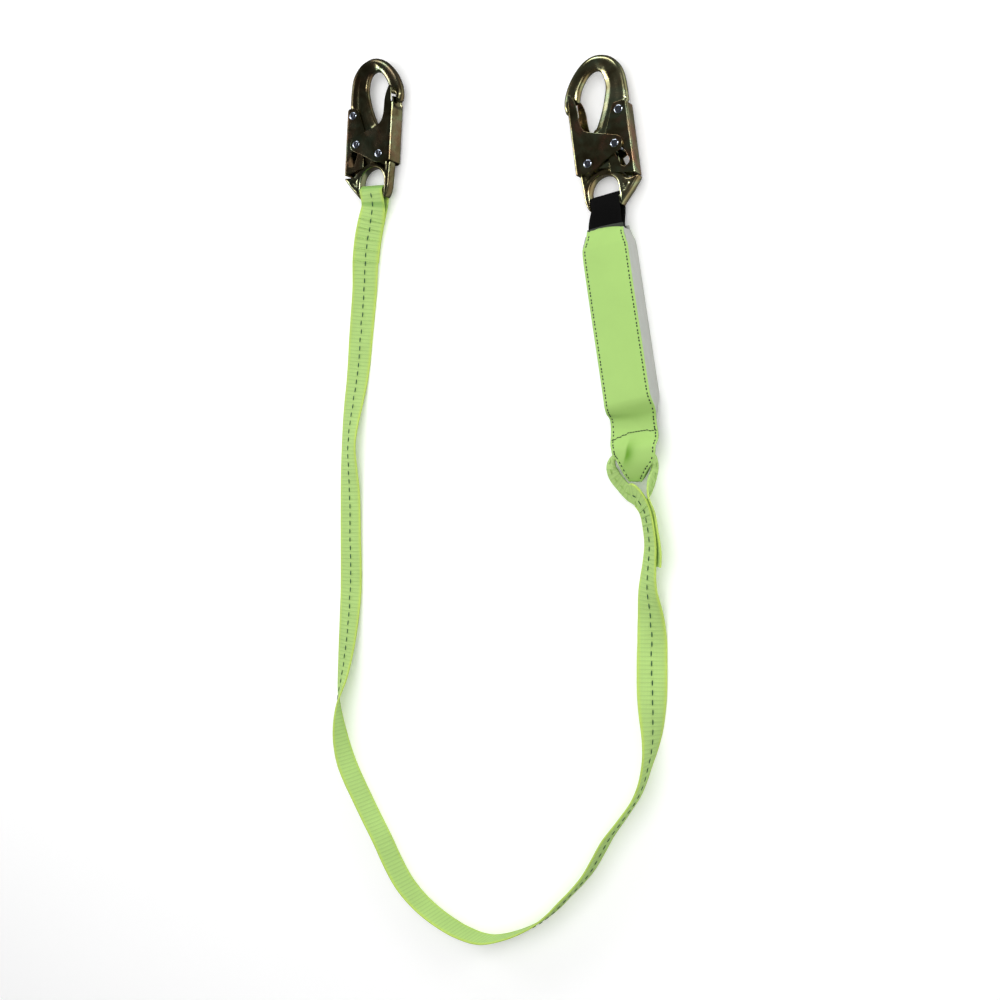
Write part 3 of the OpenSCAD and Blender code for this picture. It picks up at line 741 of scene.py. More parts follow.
def build_leg_stitching(rows, lead):
    """The dashed centre thread on the webbing's face, and the rows across its doubled end."""
    dense, _ = evenly(smooth(rows[lead:], 10), 0.5)
    run, across, face = frame_along(dense[:, :3], dense[:, 3:6])
    pitch = 17
    at = np.arange(8, len(dense) - 12, pitch)
    jitter = np.random.default_rng(4).normal(0, 0.25, len(at))
    places = (dense[at, :3] + face[at] * (dense[at, 7] / 2 + 0.1)[:, None]
              + across[at] * jitter[:, None])
    in_loop = at > np.argmax(dense[:, 6] < LEG_W - 3)
    for name, chosen, thread in (("leg_centre_thread", ~in_loop, GREEN_THREAD),
                                 ("leg_loop_thread", in_loop, LIME_THREAD)):
        row = stitch_row(name, places[chosen], run[at][chosen], face[at][chosen],
                         (5.4, 1.25, 0.8), thread)
        ride(row, "leg", "thread")

    middle, across, face = route_frames()
    for end, rows_at, reach, count, above, height in (
            ("hook", range(4, 9), 0.42, 8, LAYER_GAP, 0.7),
            ("pack", range(70, 73), 0.38, 7, 0.0, 0.8)):
        lay = [(middle[i] + face[i] * (above + LEG_T / 2 + 0.1) + across[i] * step * LEG_W,
                across[i], face[i])
               for i in rows_at for step in np.linspace(-reach, reach, count)]
        places, runs, outs = (np.array(x) for x in zip(*lay))
        row = stitch_row(f"leg_{end}_end_thread", places, runs, outs, (2.6, 0.9, height),
                         LIME_THREAD)
        ride(row, "leg", "thread", f"leg_{end}_end_stitching")


# ------------------------------------------------------------------ flat patterns with round edges
def inside(points, loops):
    """Which points lie inside the outline and outside its holes."""
    x, y = points[:, 0][:, None], points[:, 1][:, None]
    odd = np.zeros(len(points), bool)
    for loop in loops:
        a, b = loop, np.roll(loop, -1, 0)
        cross = (a[:, 1] > y) != (b[:, 1] > y)
        with np.errstate(divide="ignore", invalid="ignore"):
            at = (b[:, 0] - a[:, 0]) * (y - a[:, 1]) / (b[:, 1] - a[:, 1]) + a[:, 0]
        odd ^= ((cross & (x < at)).sum(1) % 2).astype(bool)
    return odd


def off_line(points, a, b):
    """Distance of each point from the nearest of the segments a to b."""
    best = np.full(len(points), np.inf)
    for p, q in zip(a, b):
        d = q - p
        t = np.clip((points - p) @ d / max(d @ d, 1e-12), 0, 1)
        best = np.minimum(best, np.linalg.norm(points - p - t[:, None] * d, axis=1))
    return best


def off_edge(points, loops):
    return np.min([off_line(points, loop, np.roll(loop, -1, 0)) for loop in loops], axis=0)


def dense_loop(loop, step):
    """A closed outline with points no further than a step apart."""
    out = []
    for p, q in zip(loop, np.roll(loop, -1, 0)):
        n = max(1, math.ceil(np.linalg.norm(q - p) / step - 0.2))
        out += [p + (q - p) * k / n for k in range(n)]
    return np.array(out)


def eased(loop, radius):
    """A closed outline with its corners rounded."""
    loop = np.asarray(loop, float)
    out = []
    for a, b, c in zip(np.roll(loop, 1, 0), loop, np.roll(loop, -1, 0)):
        into, onto = a - b, c - b
        cut = [min(radius, 0.45 * np.linalg.norm(v)) for v in (into, onto)]
        p, q = b + unit(into) * cut[0], b + unit(onto) * cut[1]
        out += [(1 - t) ** 2 * p + 2 * t * (1 - t) * b + t * t * q
                for t in (0, 0.25, 0.5, 0.75, 1)]
    return np.array(out)


def pattern(loops, edge, cell):
    """A triangulated flat pattern: points, triangles, and each point's distance from the edge."""
    loops = [dense_loop(np.asarray(loop, float), cell) for loop in loops]
    points = [np.vstack(loops)]
    rings = edge * np.array([0.08, 0.28, 0.6, 1.0])
    for off in rings:
        for loop in loops:
            run = unit(np.roll(loop, -1, 0) - np.roll(loop, 1, 0))
            way = np.stack([-run[:, 1], run[:, 0]], 1)
            way[~inside(loop + 0.02 * way, loops)] *= -1
            found = loop + off * way
            found = found[inside(found, loops)]
            points.append(found[off_edge(found, loops) > 0.93 * off])
    low, high = points[0].min(0), points[0].max(0)
    ys = np.arange(low[1], high[1], cell * 0.87)
    grid = np.vstack([np.stack([np.arange(low[0] + (k % 2) * cell / 2, high[0], cell),
                                np.full(len(np.arange(low[0] + (k % 2) * cell / 2, high[0],
                                                      cell)), y)], 1)
                      for k, y in enumerate(ys)])
    grid = grid[inside(grid, loops)]
    points.append(grid[off_edge(grid, loops) > edge + 0.4 * cell])
    points = np.vstack(points)
    borders, start = [], 0
    for loop in loops:
        borders += [(start + k, start + (k + 1) % len(loop)) for k in range(len(loop))]
        start += len(loop)
    made = delaunay_2d_cdt([Vector(p) for p in points], borders, [], 0, 1e-6)
    points, triangles = np.array([tuple(p) for p in made[0]]), np.array(made[2])
    middles = points[triangles].mean(1)
    triangles = triangles[inside(middles, loops)]
    a, b, c = (points[triangles[:, k]] for k in range(3))
    turned = (b[:, 0] - a[:, 0]) * (c[:, 1] - a[:, 1]) - (b[:, 1] - a[:, 1]) * (c[:, 0] - a[:, 0])
    triangles = triangles[np.abs(turned) > 1e-9]
    turned = turned[np.abs(turned) > 1e-9]
    triangles[turned < 0] = triangles[turned < 0][:, ::-1]
    return points, triangles, off_edge(points, loops)


def round_edge(off, half, edge):
    """Half thickness at a distance from the edge, for a round edge of that radius."""
    return half - edge + np.sqrt(np.maximum(edge ** 2 - np.maximum(edge - off, 0) ** 2, 0))


def solid(points, triangles, half, put):
    """Closed (points, faces): the pattern's two faces, half of the thickness out on each side,
    and its walls. put(points, height) gives places in space."""
    used = np.unique(triangles)
    back = np.full(len(points), -1)
    back[used] = np.arange(len(used))
    points, half, triangles = points[used], half[used], back[triangles]
    count = len(points)
    places = np.vstack([put(points, half), put(points, -half)])
    faces = [tuple(t) for t in triangles.tolist()]
    faces += [(c + count, b + count, a + count) for a, b, c in triangles.tolist()]
    seen = {(t[k], t[(k + 1) % 3]) for t in triangles.tolist() for k in range(3)}
    for a, b in sorted(seen):
        if (b, a) not in seen:
            faces.append((b, a, a + count, b + count))
    return places, faces


# ------------------------------------------------------------------ snap hooks
BODY_HALF = 6.25
LEVER_IN, LEVER_T = 6.6, 1.8
GATE_IN, GATE_T = 8.7, 1.7
EYE_R, EYE_ARCH_Y, EYE_BAR_R = 14.3, 9.3, 4.5
LEVER_PIVOT, LOCK_PIN, GATE_PIVOT = (25, 76), (18, 46.5), (-10, 35.6)
WEB_X, LEVER_X = -23.5, 33.0
HEAD_T, HEAD_GAP = 1.2, 0.02
BAR_SIDES, BAR_EASE = 36, 0.8
WIRE_SIDES, WIRE_R = 10, 0.85
# Cell of the flat patterns, and the radius of the round edges of sheet metal and forging
CELL, FORGING_CELL = 0.9, 0.85
SHEET_EDGE, FORGING_EDGE = 0.55, 5.2

CROWN_OUTER = [(32.6, 92), (32, 107), (29.3, 117.5), (22, 127), (13, 131.6), (4.5, 132.7),
               (-5, 130), (-14, 123.5), (-22, 114), (-27.5, 103), (-29, 94)]
CROWN_INNER = [(-15, 96.5), (-12.5, 105), (-8.5, 111.5), (-2.5, 117.5), (5, 119.5),
               (11, 115.2), (13.4, 104), (11.6, 94.5), (7, 81.5), (0.5, 68.5), (-2, 66.5)]


def arc(centre, radius, start, end, steps):
    angles = np.radians(np.linspace(start, end, steps + 1))
    return [(centre[0] + radius * math.cos(a), centre[1] + radius * math.sin(a)) for a in angles]


def in_place(side, places):
    """From a hook's own frame (X to the lever, Y to the crown) to where the hook lies.
    Hook A is the same part with its other face up."""
    x, y, z = np.asarray(places, float).T
    if side == "a":
        x, z = -x, -z
    c, s = math.cos(YAW[side]), math.sin(YAW[side])
    return np.stack([x * c - y * s, x * s + y * c, z], 1) + BAR[side]


def forging_outline():
    """One loop round the forged body, its bowl open at the gate and its eye open at the bar."""
    pin_track = arc(GATE_PIVOT, 26.6, -14, 34, 8)
    seat = arc(GATE_PIVOT, 11.2, 100, 190, 8)
    eye = [(-EYE_R, -6)] + arc((0, EYE_ARCH_Y), EYE_R, 180, 0, 24) + [(EYE_R, -7)]
    corners = ([(30.6, 74), (30.8, 83.8), (32.5, 85)] + smooth(CROWN_OUTER, 3).tolist()
               + [(-28.2, 88.5), (-26, 86.6), (-23.2, 86.6), (-22.2, 88.5), (-22, 94.5)]
               + smooth(CROWN_INNER, 3).tolist() + [(-4.5, 64), (-7.5, 57.5)] + seat
               + [(-21.3, 31), (-19.9, 4), (-18.2, -2.6), (-16, -6)] + eye
               + [(16.5, -4.6), (25.5, 4), (34, 13.4), (34, 15.3), (23.2, 15.3), (21, 19.5),
                  (16.6, 24.5)] + pin_track + [(27.3, 52.6)])
    return eased(corners, 1.1)


def forging_relief(points, off):
    """Half thickness of the forging: a round bar at the crown, and below the gate's pivot a
    thin web between raised rims along every edge."""
    bar = round_edge(off, BODY_HALF, FORGING_EDGE)
    rim_r = 2.9
    rim = BODY_HALF - rim_r + np.sqrt(np.maximum(rim_r ** 2 - (off - rim_r) ** 2, 0))
    fall = np.clip((off - rim_r) / 3.2, 0, 1)
    web = 4.1 + (BODY_HALF - 4.1) * (1 - fall * fall * (3 - 2 * fall))
    ribbed = np.where(off < rim_r, rim, np.minimum(web, BODY_HALF))
    low = np.clip((34 - points[:, 1]) / 8, 0, 1)
    half = bar + (ribbed - bar) * low * low * (3 - 2 * low)
    channel = np.array([(22.2, 82), (23.3, 95), (22.6, 106), (18.5, 116.5)])
    away = off_line(points, channel[:-1], channel[1:])
    sunk = np.clip(1 - away / 3.6, 0, 1)
    half = half - 0.4 * sunk * sunk * (3 - 2 * sunk)
    shank = np.array(CROWN_INNER[4:10])
    leaning = np.clip(7.4 - off_line(points, shank[:-1], shank[1:]), 0, 4)
    return half - 0.34 * leaning * np.clip(off / 2.6, 0, 1)


def tube(start, end, radius):
    """A round bar between two points, with eased ends."""
    start, end = np.asarray(start, float), np.asarray(end, float)
    length = np.linalg.norm(end - start)
    return turned(start, end - start, [
        (0, radius - BAR_EASE), (BAR_EASE, radius), (length - BAR_EASE, radius),
        (length, radius - BAR_EASE)], BAR_SIDES)


def turned(base, axis, profile, sides=40):
    """A closed turned shape: profile is (distance along the axis, radius)."""
    axis = unit(axis)
    aside = unit(np.cross(axis, (0.3, 0.9, 0.2)))
    other = np.cross(axis, aside)
    angles = np.linspace(0, 2 * math.pi, sides, endpoint=False)
    rings = [base + d * axis + r * (np.cos(angles)[:, None] * aside
                                    + np.sin(angles)[:, None] * other) for d, r in profile]
    faces = [(i * sides + j, i * sides + (j + 1) % sides, (i + 1) * sides + (j + 1) % sides,
              (i + 1) * sides + j) for i in range(len(rings) - 1) for j in range(sides)]
    faces += [tuple(reversed(range(sides))),
              tuple((len(rings) - 1) * sides + j for j in range(sides))]
    return np.vstack(rings), faces


def build_forging(side):
    points, triangles, off = pattern([forging_outline()], FORGING_EDGE, FORGING_CELL)
    body = solid(points, triangles, forging_relief(points, off),
                 lambda p, h: in_place(side, np.column_stack([p, h])))
    bar = tube((-17.5, 0, 0), (17.5, 0, 0), EYE_BAR_R)
    bar = (in_place(side, bar[0]), bar[1])
    piece = add_mesh(f"hook_forging_{side}", *join_mesh([body, bar]), FORGING[side])
    return ride(piece, f"hook_{side}", "forged_steel", f"hook_body_{side}")


def folded(points, height, web_x, middle, bend, dent=0):
    """Place of a flat pattern's points once it is folded into a channel. The pattern's X is the
    distance round the channel from the web's middle, and web_x is the web's middle plane: on
    the left the channel opens to the right, and on the right to the left. dent presses a
    tongue of the web inwards."""
    way = 1 if web_x < 0 else -1
    s, y = points[:, 0] * way, points[:, 1]
    up = np.where(s < 0, -1.0, 1.0)
    s = np.abs(s)
    straight = middle - bend
    turn = np.clip((s - straight) / bend, 0, math.pi / 2)
    past = np.maximum(s - straight - bend * math.pi / 2, 0)
    x = bend * (1 - np.cos(turn)) + past - height * np.cos(turn)
    z = np.minimum(s, straight) + bend * np.sin(turn) + height * np.sin(turn)
    if dent:
        rise = np.clip((y - 79) / 6, 0, 1) * np.clip((straight - s) / 1.6, 0, 1)
        x = x + dent * rise * rise * (3 - 2 * rise)
    return np.stack([web_x + way * x, y, up * z], 1)


def round_channel(x, web_x, middle, bend):
    """Distance round the channel of a place on its plate at that X."""
    return middle - bend + bend * math.pi / 2 + abs(x - web_x) - bend


def channel_loop(right):
    """A closed outline that is the same on both sides of the web, from its right half."""
    left = [(-s, y) for s, y in reversed(right)]
    return np.array(right + left, float)


def build_gate(side):
    web, middle, bend = WEB_X + GATE_T / 2, GATE_IN + GATE_T / 2, 2.1
    at = lambda x: round_channel(x, web, middle, bend)
    lobe = [(at(x), y) for x, y in arc(LOCK_PIN, 7.4, -70, 70, 12)]
    ear = at(web) + bend - 0.8
    throat = smooth([(12, 56.8), (-3, 62.3), (-8.5, 65), (-11.8, 69.5), (-13.4, 76), (-14, 88),
                     (-15.8, 96)], 4)
    right = ([(1.5, 28.6), (at(web) + 1, 28.6), (at(-20.5), 27.2), (at(-8), 27.2),
              (at(-2), 29), (at(8), 34.5)] + lobe + [(at(x), y) for x, y in throat]
             + [(at(-18.2), 101.2), (at(-20), 102), (ear, 99.5), (ear, 86.5), (8.2, 85.4),
                (7.2, 87), (7, 91.6), (1.5, 92.4)])
    points, triangles, off = pattern([eased(channel_loop(right), 0.8)], SHEET_EDGE, CELL)
    body = solid(points, triangles, round_edge(off, GATE_T / 2, SHEET_EDGE),
                 lambda p, h: in_place(side, folded(p, h, web, middle, bend, 1.7)))
    piece = add_mesh(f"pressed_gate_{side}", *body, PRESSING[side])
    return ride(piece, f"gate_{side}", "plated_sheet", f"gate_{side}")


def build_lever(side):
    web, middle, bend = LEVER_X - LEVER_T / 2, LEVER_IN + LEVER_T / 2, 2.0
    at = lambda x: round_channel(x, web, middle, bend)
    lock, end = np.array(LOCK_PIN, float), np.array((24.4, 29.6))
    lean = math.degrees(math.atan2(*(end - lock)[::-1]))
    slot = arc(lock, 3.8, lean + 90, lean + 270, 12) + arc(end, 4.7, lean - 90, lean + 90, 14)
    right = [(1.5, 17.4), (at(31), 17.2), (at(9.6), 22.8), (at(9.6), 58.6), (at(18.3), 79.6),
             (at(20.5), 83), (at(29.5), 83.4), (at(31.2), 82.2), (at(web) + 0.5, 81.6),
             (1.5, 81.6)]
    hole = np.array([(at(x), y) for x, y in slot])
    loops = [eased(channel_loop(right), 1.0), hole, hole * (-1, 1)]
    points, triangles, off = pattern(loops, SHEET_EDGE, CELL)
    body = solid(points, triangles, round_edge(off, LEVER_T / 2, SHEET_EDGE),
                 lambda p, h: in_place(side, folded(p, h, web, middle, bend)))
    piece = add_mesh(f"pressed_lever_{side}", *body, PRESSING[side])
    return ride(piece, f"lever_{side}", "plated_sheet", f"lock_lever_{side}")


def rivet_shape(side, centre, height, head_r):
    """A round headed rivet through the hook, with a struck dimple in each head."""
    half = [(0.1, 1.1), (0.25, 1.6), (0.3, head_r - 1.7), (0.05, head_r - 0.8),
            (-0.5, head_r - 0.15), (-0.9, head_r), (-HEAD_T, head_r), (-HEAD_T, 3.0)]
    top = height + HEAD_T
    profile = [(-(top - 0.25 + d), r) for d, r in half]
    profile += [(top - 0.25 + d, r) for d, r in reversed(half)]
    places, faces = turned(np.array([*centre, 0.0]), np.array([0, 0, 1.0]), profile)
    return in_place(side, places), faces


def build_rivets(side):
    gate_head, lever_head = GATE_IN + GATE_T + HEAD_GAP, LEVER_IN + LEVER_T + HEAD_GAP
    for name, centre, height, head_r, body in (
            ("gate_rivet", GATE_PIVOT, gate_head, 4.0, f"hook_{side}"),
            ("lever_rivet", LEVER_PIVOT, lever_head, 4.1, f"hook_{side}"),
            ("lock_pin", LOCK_PIN, GATE_IN + GATE_T, 3.9, f"gate_{side}")):
        piece = add_mesh(f"{name}_head_{side}", *rivet_shape(side, centre, height, head_r),
                         RIVET_STEEL)
        ride(piece, body, "rivet_steel", f"{name}_{side}")


def build_springs(side):
    """The lever's coil spring and the gate's torsion spring, wound from round wire."""
    coil = add_mesh(f"lever_spring_{side}", [(0, 0, 0)], [], SPRING_STEEL)
    grown(coil, WOUND_SPRING, {"Turns": 5.0, "Coil Radius": 2.5 * MM, "Length": 13.0 * MM,
                               "Wire Radius": 0.45 * MM, "Wire": SPRING_STEEL})
    move_mesh(coil, side, lambda p: np.stack([17.6 + p[:, 2], 62 + p[:, 0], p[:, 1]], 1))
    ride(coil, f"hook_{side}", "spring_steel", f"lock_spring_{side}")
    parts = []
    for z in (-7.475, 7.475):
        ring = [(*p, z) for p in arc(GATE_PIVOT, 5.2, -60, 240, 40)]
        legs = [(-14.9, 37.4, z), (-17.4, 43.2, z)], [(-4.6, 36, z), (-2, 47, z)]
        for line in (ring, *legs):
            parts.append(round_wire(np.array(line, float), WIRE_R))
    places, faces = join_mesh(parts)
    torsion = add_mesh(f"gate_torsion_spring_{side}", in_place(side, places), faces,
                       SPRING_STEEL)
    ride(torsion, f"hook_{side}", "spring_steel", f"gate_spring_{side}")


def round_wire(line, radius):
    """A round wire along a line that lies flat."""
    run = unit(np.gradient(line, axis=0))
    aside = np.cross(run, UP)
    angles = np.linspace(0, 2 * math.pi, WIRE_SIDES, endpoint=False)
    rings = [p + radius * (np.cos(angles)[:, None] * a + np.sin(angles)[:, None] * UP)
             for p, a in zip(line, aside)]
    return np.vstack(rings), ring_faces(len(rings), WIRE_SIDES)


def move_mesh(piece, side, put):
    """Moves a mesh made at the origin to its place in a hook."""
    places = np.zeros(len(piece.data.vertices) * 3)
    piece.data.vertices.foreach_get("co", places)
    moved = in_place(side, put(places.reshape(-1, 3) / MM)) * MM
    piece.data.vertices.foreach_set("co", moved.ravel())
    piece.data.update()


def build_hook(side):
    build_forging(side)
    build_gate(side)
    build_lever(side)
    build_rivets(side)
    build_springs(side)


# ------------------------------------------------------------------ energy absorber
PACK_W, PACK_T, COVER_T = 44.0, 25.0, 0.9
EDGE_STITCH_PITCH = 3.3
# Where the cover front steps down: a soft band of painted shade lies across it here.
STEP_SHADE_AT = 168.0
MOUTH_SLANT, MOUTH_ARCH, MOUTH_FADE = 0.16, 12.0, 16
HEM, HEM_FADE = 2.4, 20.0
FRONT_STEP, FRONT_COLUMNS = 1.3, 45
CREASE_LEAN = 0.22
PACK_TOP, PACK_STEP, TAIL_X = np.array([128.5, 226]), np.array([154.5, 65]), 154.5
PACK_RUN = unit(PACK_STEP - PACK_TOP)
PACK_SIDE = np.array([-PACK_RUN[1], PACK_RUN[0], 0])
TOP_Z = PACK_T - COVER_T / 2
ACROSS_PACK, ACROSS_TAIL = -PACK_SIDE, np.array([-1.0, 0, 0])


def on_pack(s, z, aside=0.0):
    return [*(PACK_TOP + PACK_RUN * s + PACK_SIDE[:2] * aside), z]


def on_tail(y, z):
    return [TAIL_X, y, z]


def rows_of(*rows):
    """Rows of (place, direction across, width) as numbers."""
    return np.array([[*place, *side, width] for place, side, width in rows])


FRONT_ROWS = rows_of(
    (on_pack(-2, 19.5, 1.3), ACROSS_PACK, PACK_W - 8),
    (on_pack(4, 22, 1.2), ACROSS_PACK, PACK_W - 7),
    (on_pack(11, 24, 0.8), ACROSS_PACK, PACK_W - 3),
    (on_pack(18, TOP_Z, 0.4), ACROSS_PACK, PACK_W),
    (on_pack(50, TOP_Z), ACROSS_PACK, PACK_W),
    (on_pack(100, TOP_Z), ACROSS_PACK, PACK_W), (on_pack(145, TOP_Z), ACROSS_PACK, PACK_W),
    (on_pack(155, TOP_Z - 0.8), ACROSS_PACK, PACK_W + 1),
    (on_pack(162, 20), ACROSS_PACK, PACK_W + 1.5), (on_tail(59, 15.4), ACROSS_TAIL, PACK_W),
    ((155, 50, 14.4), ACROSS_TAIL, PACK_W), ((156.2, 41, 16.5), ACROSS_TAIL, 45),
    ((157, 34, 20.3), ACROSS_TAIL, 42), ((157.4, 26, 20.4), ACROSS_TAIL, 39.5),
    ((156.4, 18, 18.6), ACROSS_TAIL, 29), ((155.4, 10, 15), ACROSS_TAIL, 19.5),
    ((155, 4.5, 11), ACROSS_TAIL, 12.5))
BACK_W = PACK_W - 4
BACK_ROWS = rows_of(
    (on_tail(4.5, 9.8), ACROSS_TAIL, 12), (on_tail(10, 5.5), ACROSS_TAIL, 17),
    (on_tail(18, 1.8), ACROSS_TAIL, 22), (on_tail(26, 0.6), ACROSS_TAIL, 25),
    (on_tail(34, 0.6), ACROSS_TAIL, 26), (on_tail(41, 0.6), ACROSS_TAIL, 27),
    (on_tail(60, 0.6), ACROSS_TAIL, 30), (on_pack(158, 0.6), ACROSS_PACK, 36),
    (on_pack(145, 0.6), ACROSS_PACK, BACK_W), (on_pack(100, 0.6), ACROSS_PACK, BACK_W),
    (on_pack(14, 0.6), ACROSS_PACK, BACK_W), (on_pack(6, 1.8), ACROSS_PACK, BACK_W - 3),
    (on_pack(-2, 4), ACROSS_PACK, BACK_W - 5))


def sheet_band(name, points, sides, widths, depth, finish, columns, lift, slant=0.0):
    """A thin closed sheet along points whose two faces move together by lift(s, across)."""
    run, across, face = frame_along(points, sides)
    ring = band_ring(columns)
    half = np.asarray(widths)[:, None] / 2
    reach = ring[:, 0] * half
    along = distances(points)
    rise = ring[:, 1] * depth / 2 + lift(along[:, None], reach, half, along[-1])
    slip = -slant * (reach + MOUTH_ARCH * (1 - (reach / half) ** 2)) * np.clip(
        1 - along[:, None] / MOUTH_FADE, 0, 1) ** 2
    places = (points[:, None] + reach[..., None] * across[:, None]
              + rise[..., None] * face[:, None] + slip[..., None] * run[:, None])
    piece = add_mesh(name, places.reshape(-1, 3), ring_faces(len(points), len(ring)), finish)
    add_weave_map(piece, np.repeat(along, len(ring)), reach.reshape(-1))
    return piece, along, face, across, run


def cover_lift(crown, seed, crease=None):
    """How far a cover panel stands out of its rows at a distance along and across it: crowned in
    its middle, drawn in along the sewn hems, softly rippled, and pinched where it is creased.
    crease = (distance along, distance across, length, width, depth)."""
    random = np.random.default_rng(seed)
    waves = [(random.uniform(0.03, 0.10), random.uniform(0, 6.28), random.uniform(0.05, 0.2),
              random.uniform(0, 6.28), random.uniform(0.04, 0.12)) for _ in range(7)]

    def lift(s, across, half, total):
        u = across / half
        ends = np.minimum(1, s / HEM_FADE) * np.minimum(1, (total - s) / HEM_FADE)
        groove = -0.45 * np.exp(-((half - HEM - np.abs(across)) / 0.8) ** 2)
        ripple = sum(h * np.sin(f * s + a) * np.sin(g * across + b)
                     for f, a, g, b, h in waves)
        rise = crown * (1 - u ** 2) * ends + groove + ripple * (1 - u ** 4)
        if crease:
            at, aside, length, width, depth = crease
            off = across - aside - CREASE_LEAN * (s - at)
            steep = np.where(off > 0, width * 0.5, width * 1.5)
            rise = rise - depth * np.exp(-(off / steep) ** 2 - ((s - at) / length) ** 2)
        return rise

    return lift


def build_cover():
    """The cover's front, back and side panels, its mouth's bound rim, and its sewn edges."""
    fine, _ = evenly(smooth(FRONT_ROWS, 10), FRONT_STEP)
    crease = (207, 6.5, 11, 4.5, 0.9)
    lift = cover_lift(0.9, 11, crease)
    front, along, face, across, run = sheet_band(
        "cover_front_cloth", fine[:, :3], fine[:, 3:6], fine[:, 6], COVER_T, COVER_CLOTH,
        FRONT_COLUMNS, lift, MOUTH_SLANT)
    ring = band_ring(FRONT_COLUMNS)[:, 0]
    s, a = along[:, None], ring * fine[:, 6:7] / 2
    off = a - crease[1] - CREASE_LEAN * (s - crease[0])
    # Painted shade: darker along the crease, and in a soft band across the cover's step.
    crease_shade = np.exp(-(off / np.where(off > 0, 1.2, 6.5)) ** 2 - ((s - crease[0]) / 10) ** 2)
    step = np.exp(-((s - STEP_SHADE_AT) / 5.5) ** 2)
    store(front, "painted_shade", np.clip(0.95 * crease_shade + 0.12 * step, 0, 1).ravel())
    ride(front, "pack", "cover_fabric", "cover_front")
    back_fine, _ = evenly(smooth(BACK_ROWS, 6), 2.0)
    back = sheet_band("cover_back_cloth", back_fine[:, :3], back_fine[:, 3:6], back_fine[:, 6],
                      COVER_T, COVER_CLOTH, 25, cover_lift(0.0, 12))[0]
    ride(back, "pack", "cover_fabric", "cover_back")
    for name, way in (("left", -1), ("right", 1)):
        panel = side_panel(name, way)
        ride(panel, "pack", "side_fabric", f"cover_side_{name}")
    sew_cover(fine, along, face, across, run, lift)
    # Two bound rims at the mouth: the upper one has the grey cloth painted dark as shade inside the
    # mouth.
    for i, z in enumerate((18.6, 4.9)):
        line = np.array([on_pack(s, z, 1.3) for s in np.linspace(-4.9, 1, 6)])
        rim = sheet_band(f"cover_mouth_rim_{i}", line, np.tile(ACROSS_PACK, (6, 1)),
                         np.full(6, PACK_W - 9), 0.6, (MOUTH_SHADE_CLOTH, SIDE_CLOTH)[i], 21,
                         lambda s, a, half, total: 0.15 * np.sin(0.7 * a) + 0 * s,
                         MOUTH_SLANT - 0.1)[0]
        ride(rim, "pack", "side_fabric", "cover_top_rim")


def side_panel(name, way):
    """The grey panel between the cover's front and back, bulged by the folded webbing."""
    rows = np.array([[*(np.array(on_pack(d, z)) + way * PACK_SIDE * (PACK_W / 2 - inset)), *UP, w]
                     for d, z, inset, w in (
                         (0, 12, 3.4, 13.5), (6, 12.4, 2.4, 18.5), (14, 12.5, 1, 21.6),
                         (50, 12.5, 1, 22.4), (100, 12.5, 1, 22.4), (145, 12.4, 1, 22.2),
                         (152, 12, 1, 20), (158, 12, 1.6, 15), (164, 11.4, 2.6, 9.6),
                         (170, 10.8, 3.8, 6.6), (177, 10.6, 5.2, 4.4))])
    fine, _ = evenly(smooth(rows, 8), 1.6)
    random = np.random.default_rng(20 + way)
    phases = random.uniform(0, 6.28, 4)

    def lift(s, across, half, total):
        u = across / half
        folds = 0.18 * np.sin(0.13 * s + phases[0]) * np.sin(0.5 * across + phases[1])
        layers = 0.12 * np.sin(across * 2.3 + 0.3 * np.sin(0.05 * s + phases[2]))
        return -way * ((0.8 + folds + layers) * (1 - u ** 4))

    return sheet_band(f"cover_side_cloth_{name}", fine[:, :3], fine[:, 3:6], fine[:, 6],
                      COVER_T, SIDE_CLOTH, 21, lift)[0]


def sew_cover(fine, along, face, across, run, lift):
    """Dotted thread along both long edges of the front, and the cross seam over the tail."""
    def on_cover(i, a, above):
        rise = lift(along[i], a, fine[i, 6] / 2, along[-1]) + COVER_T / 2 + above
        bow = MOUTH_ARCH * (1 - (2 * a / fine[i, 6]) ** 2)
        slip = -MOUTH_SLANT * (a + bow) * max(1 - along[i] / MOUTH_FADE, 0) ** 2
        return fine[i, :3] + a * across[i] + rise * face[i] + slip * run[i]

    last = len(fine) - 1
    places, runs, outs = [], [], []
    for way in (-1, 1):
        for s in np.arange(4.0, along[-1] - 2.0, EDGE_STITCH_PITCH):
            i = int(np.searchsorted(along, s))
            places.append(on_cover(i, way * (fine[i, 6] / 2 - HEM), 0.05))
            runs.append(run[i] + way * across[i] * (fine[min(i + 1, last), 6]
                                                  - fine[max(i - 1, 0), 6]) / 4 / FRONT_STEP)
            outs.append(face[i])
    edge = stitch_row("cover_edge_thread", places, runs, outs, (2.3, 1.5, 1.0), SEAM_THREAD)
    ride(edge, "pack", "thread")
    places, runs, outs = [], [], []
    for a in np.linspace(-20.5, 20.5, 17):
        y = 44.6 + 2.8 * (1 - (a / 20.5) ** 2) - 0.06 * a
        i = int(np.argmin(np.abs(fine[:, 1] - y) + 1000 * (fine[:, 1] > 60)))
        places.append(on_cover(i, a, 0.1))
        runs.append(across[i] + run[i] * 0.35 * a / 20.5)
        outs.append(face[i])
    seam = stitch_row("cover_cross_thread", places, runs, outs, (3.0, 0.95, 0.9), SEAM_THREAD)
    ride(seam, "pack", "thread", "end_loop_stitching")


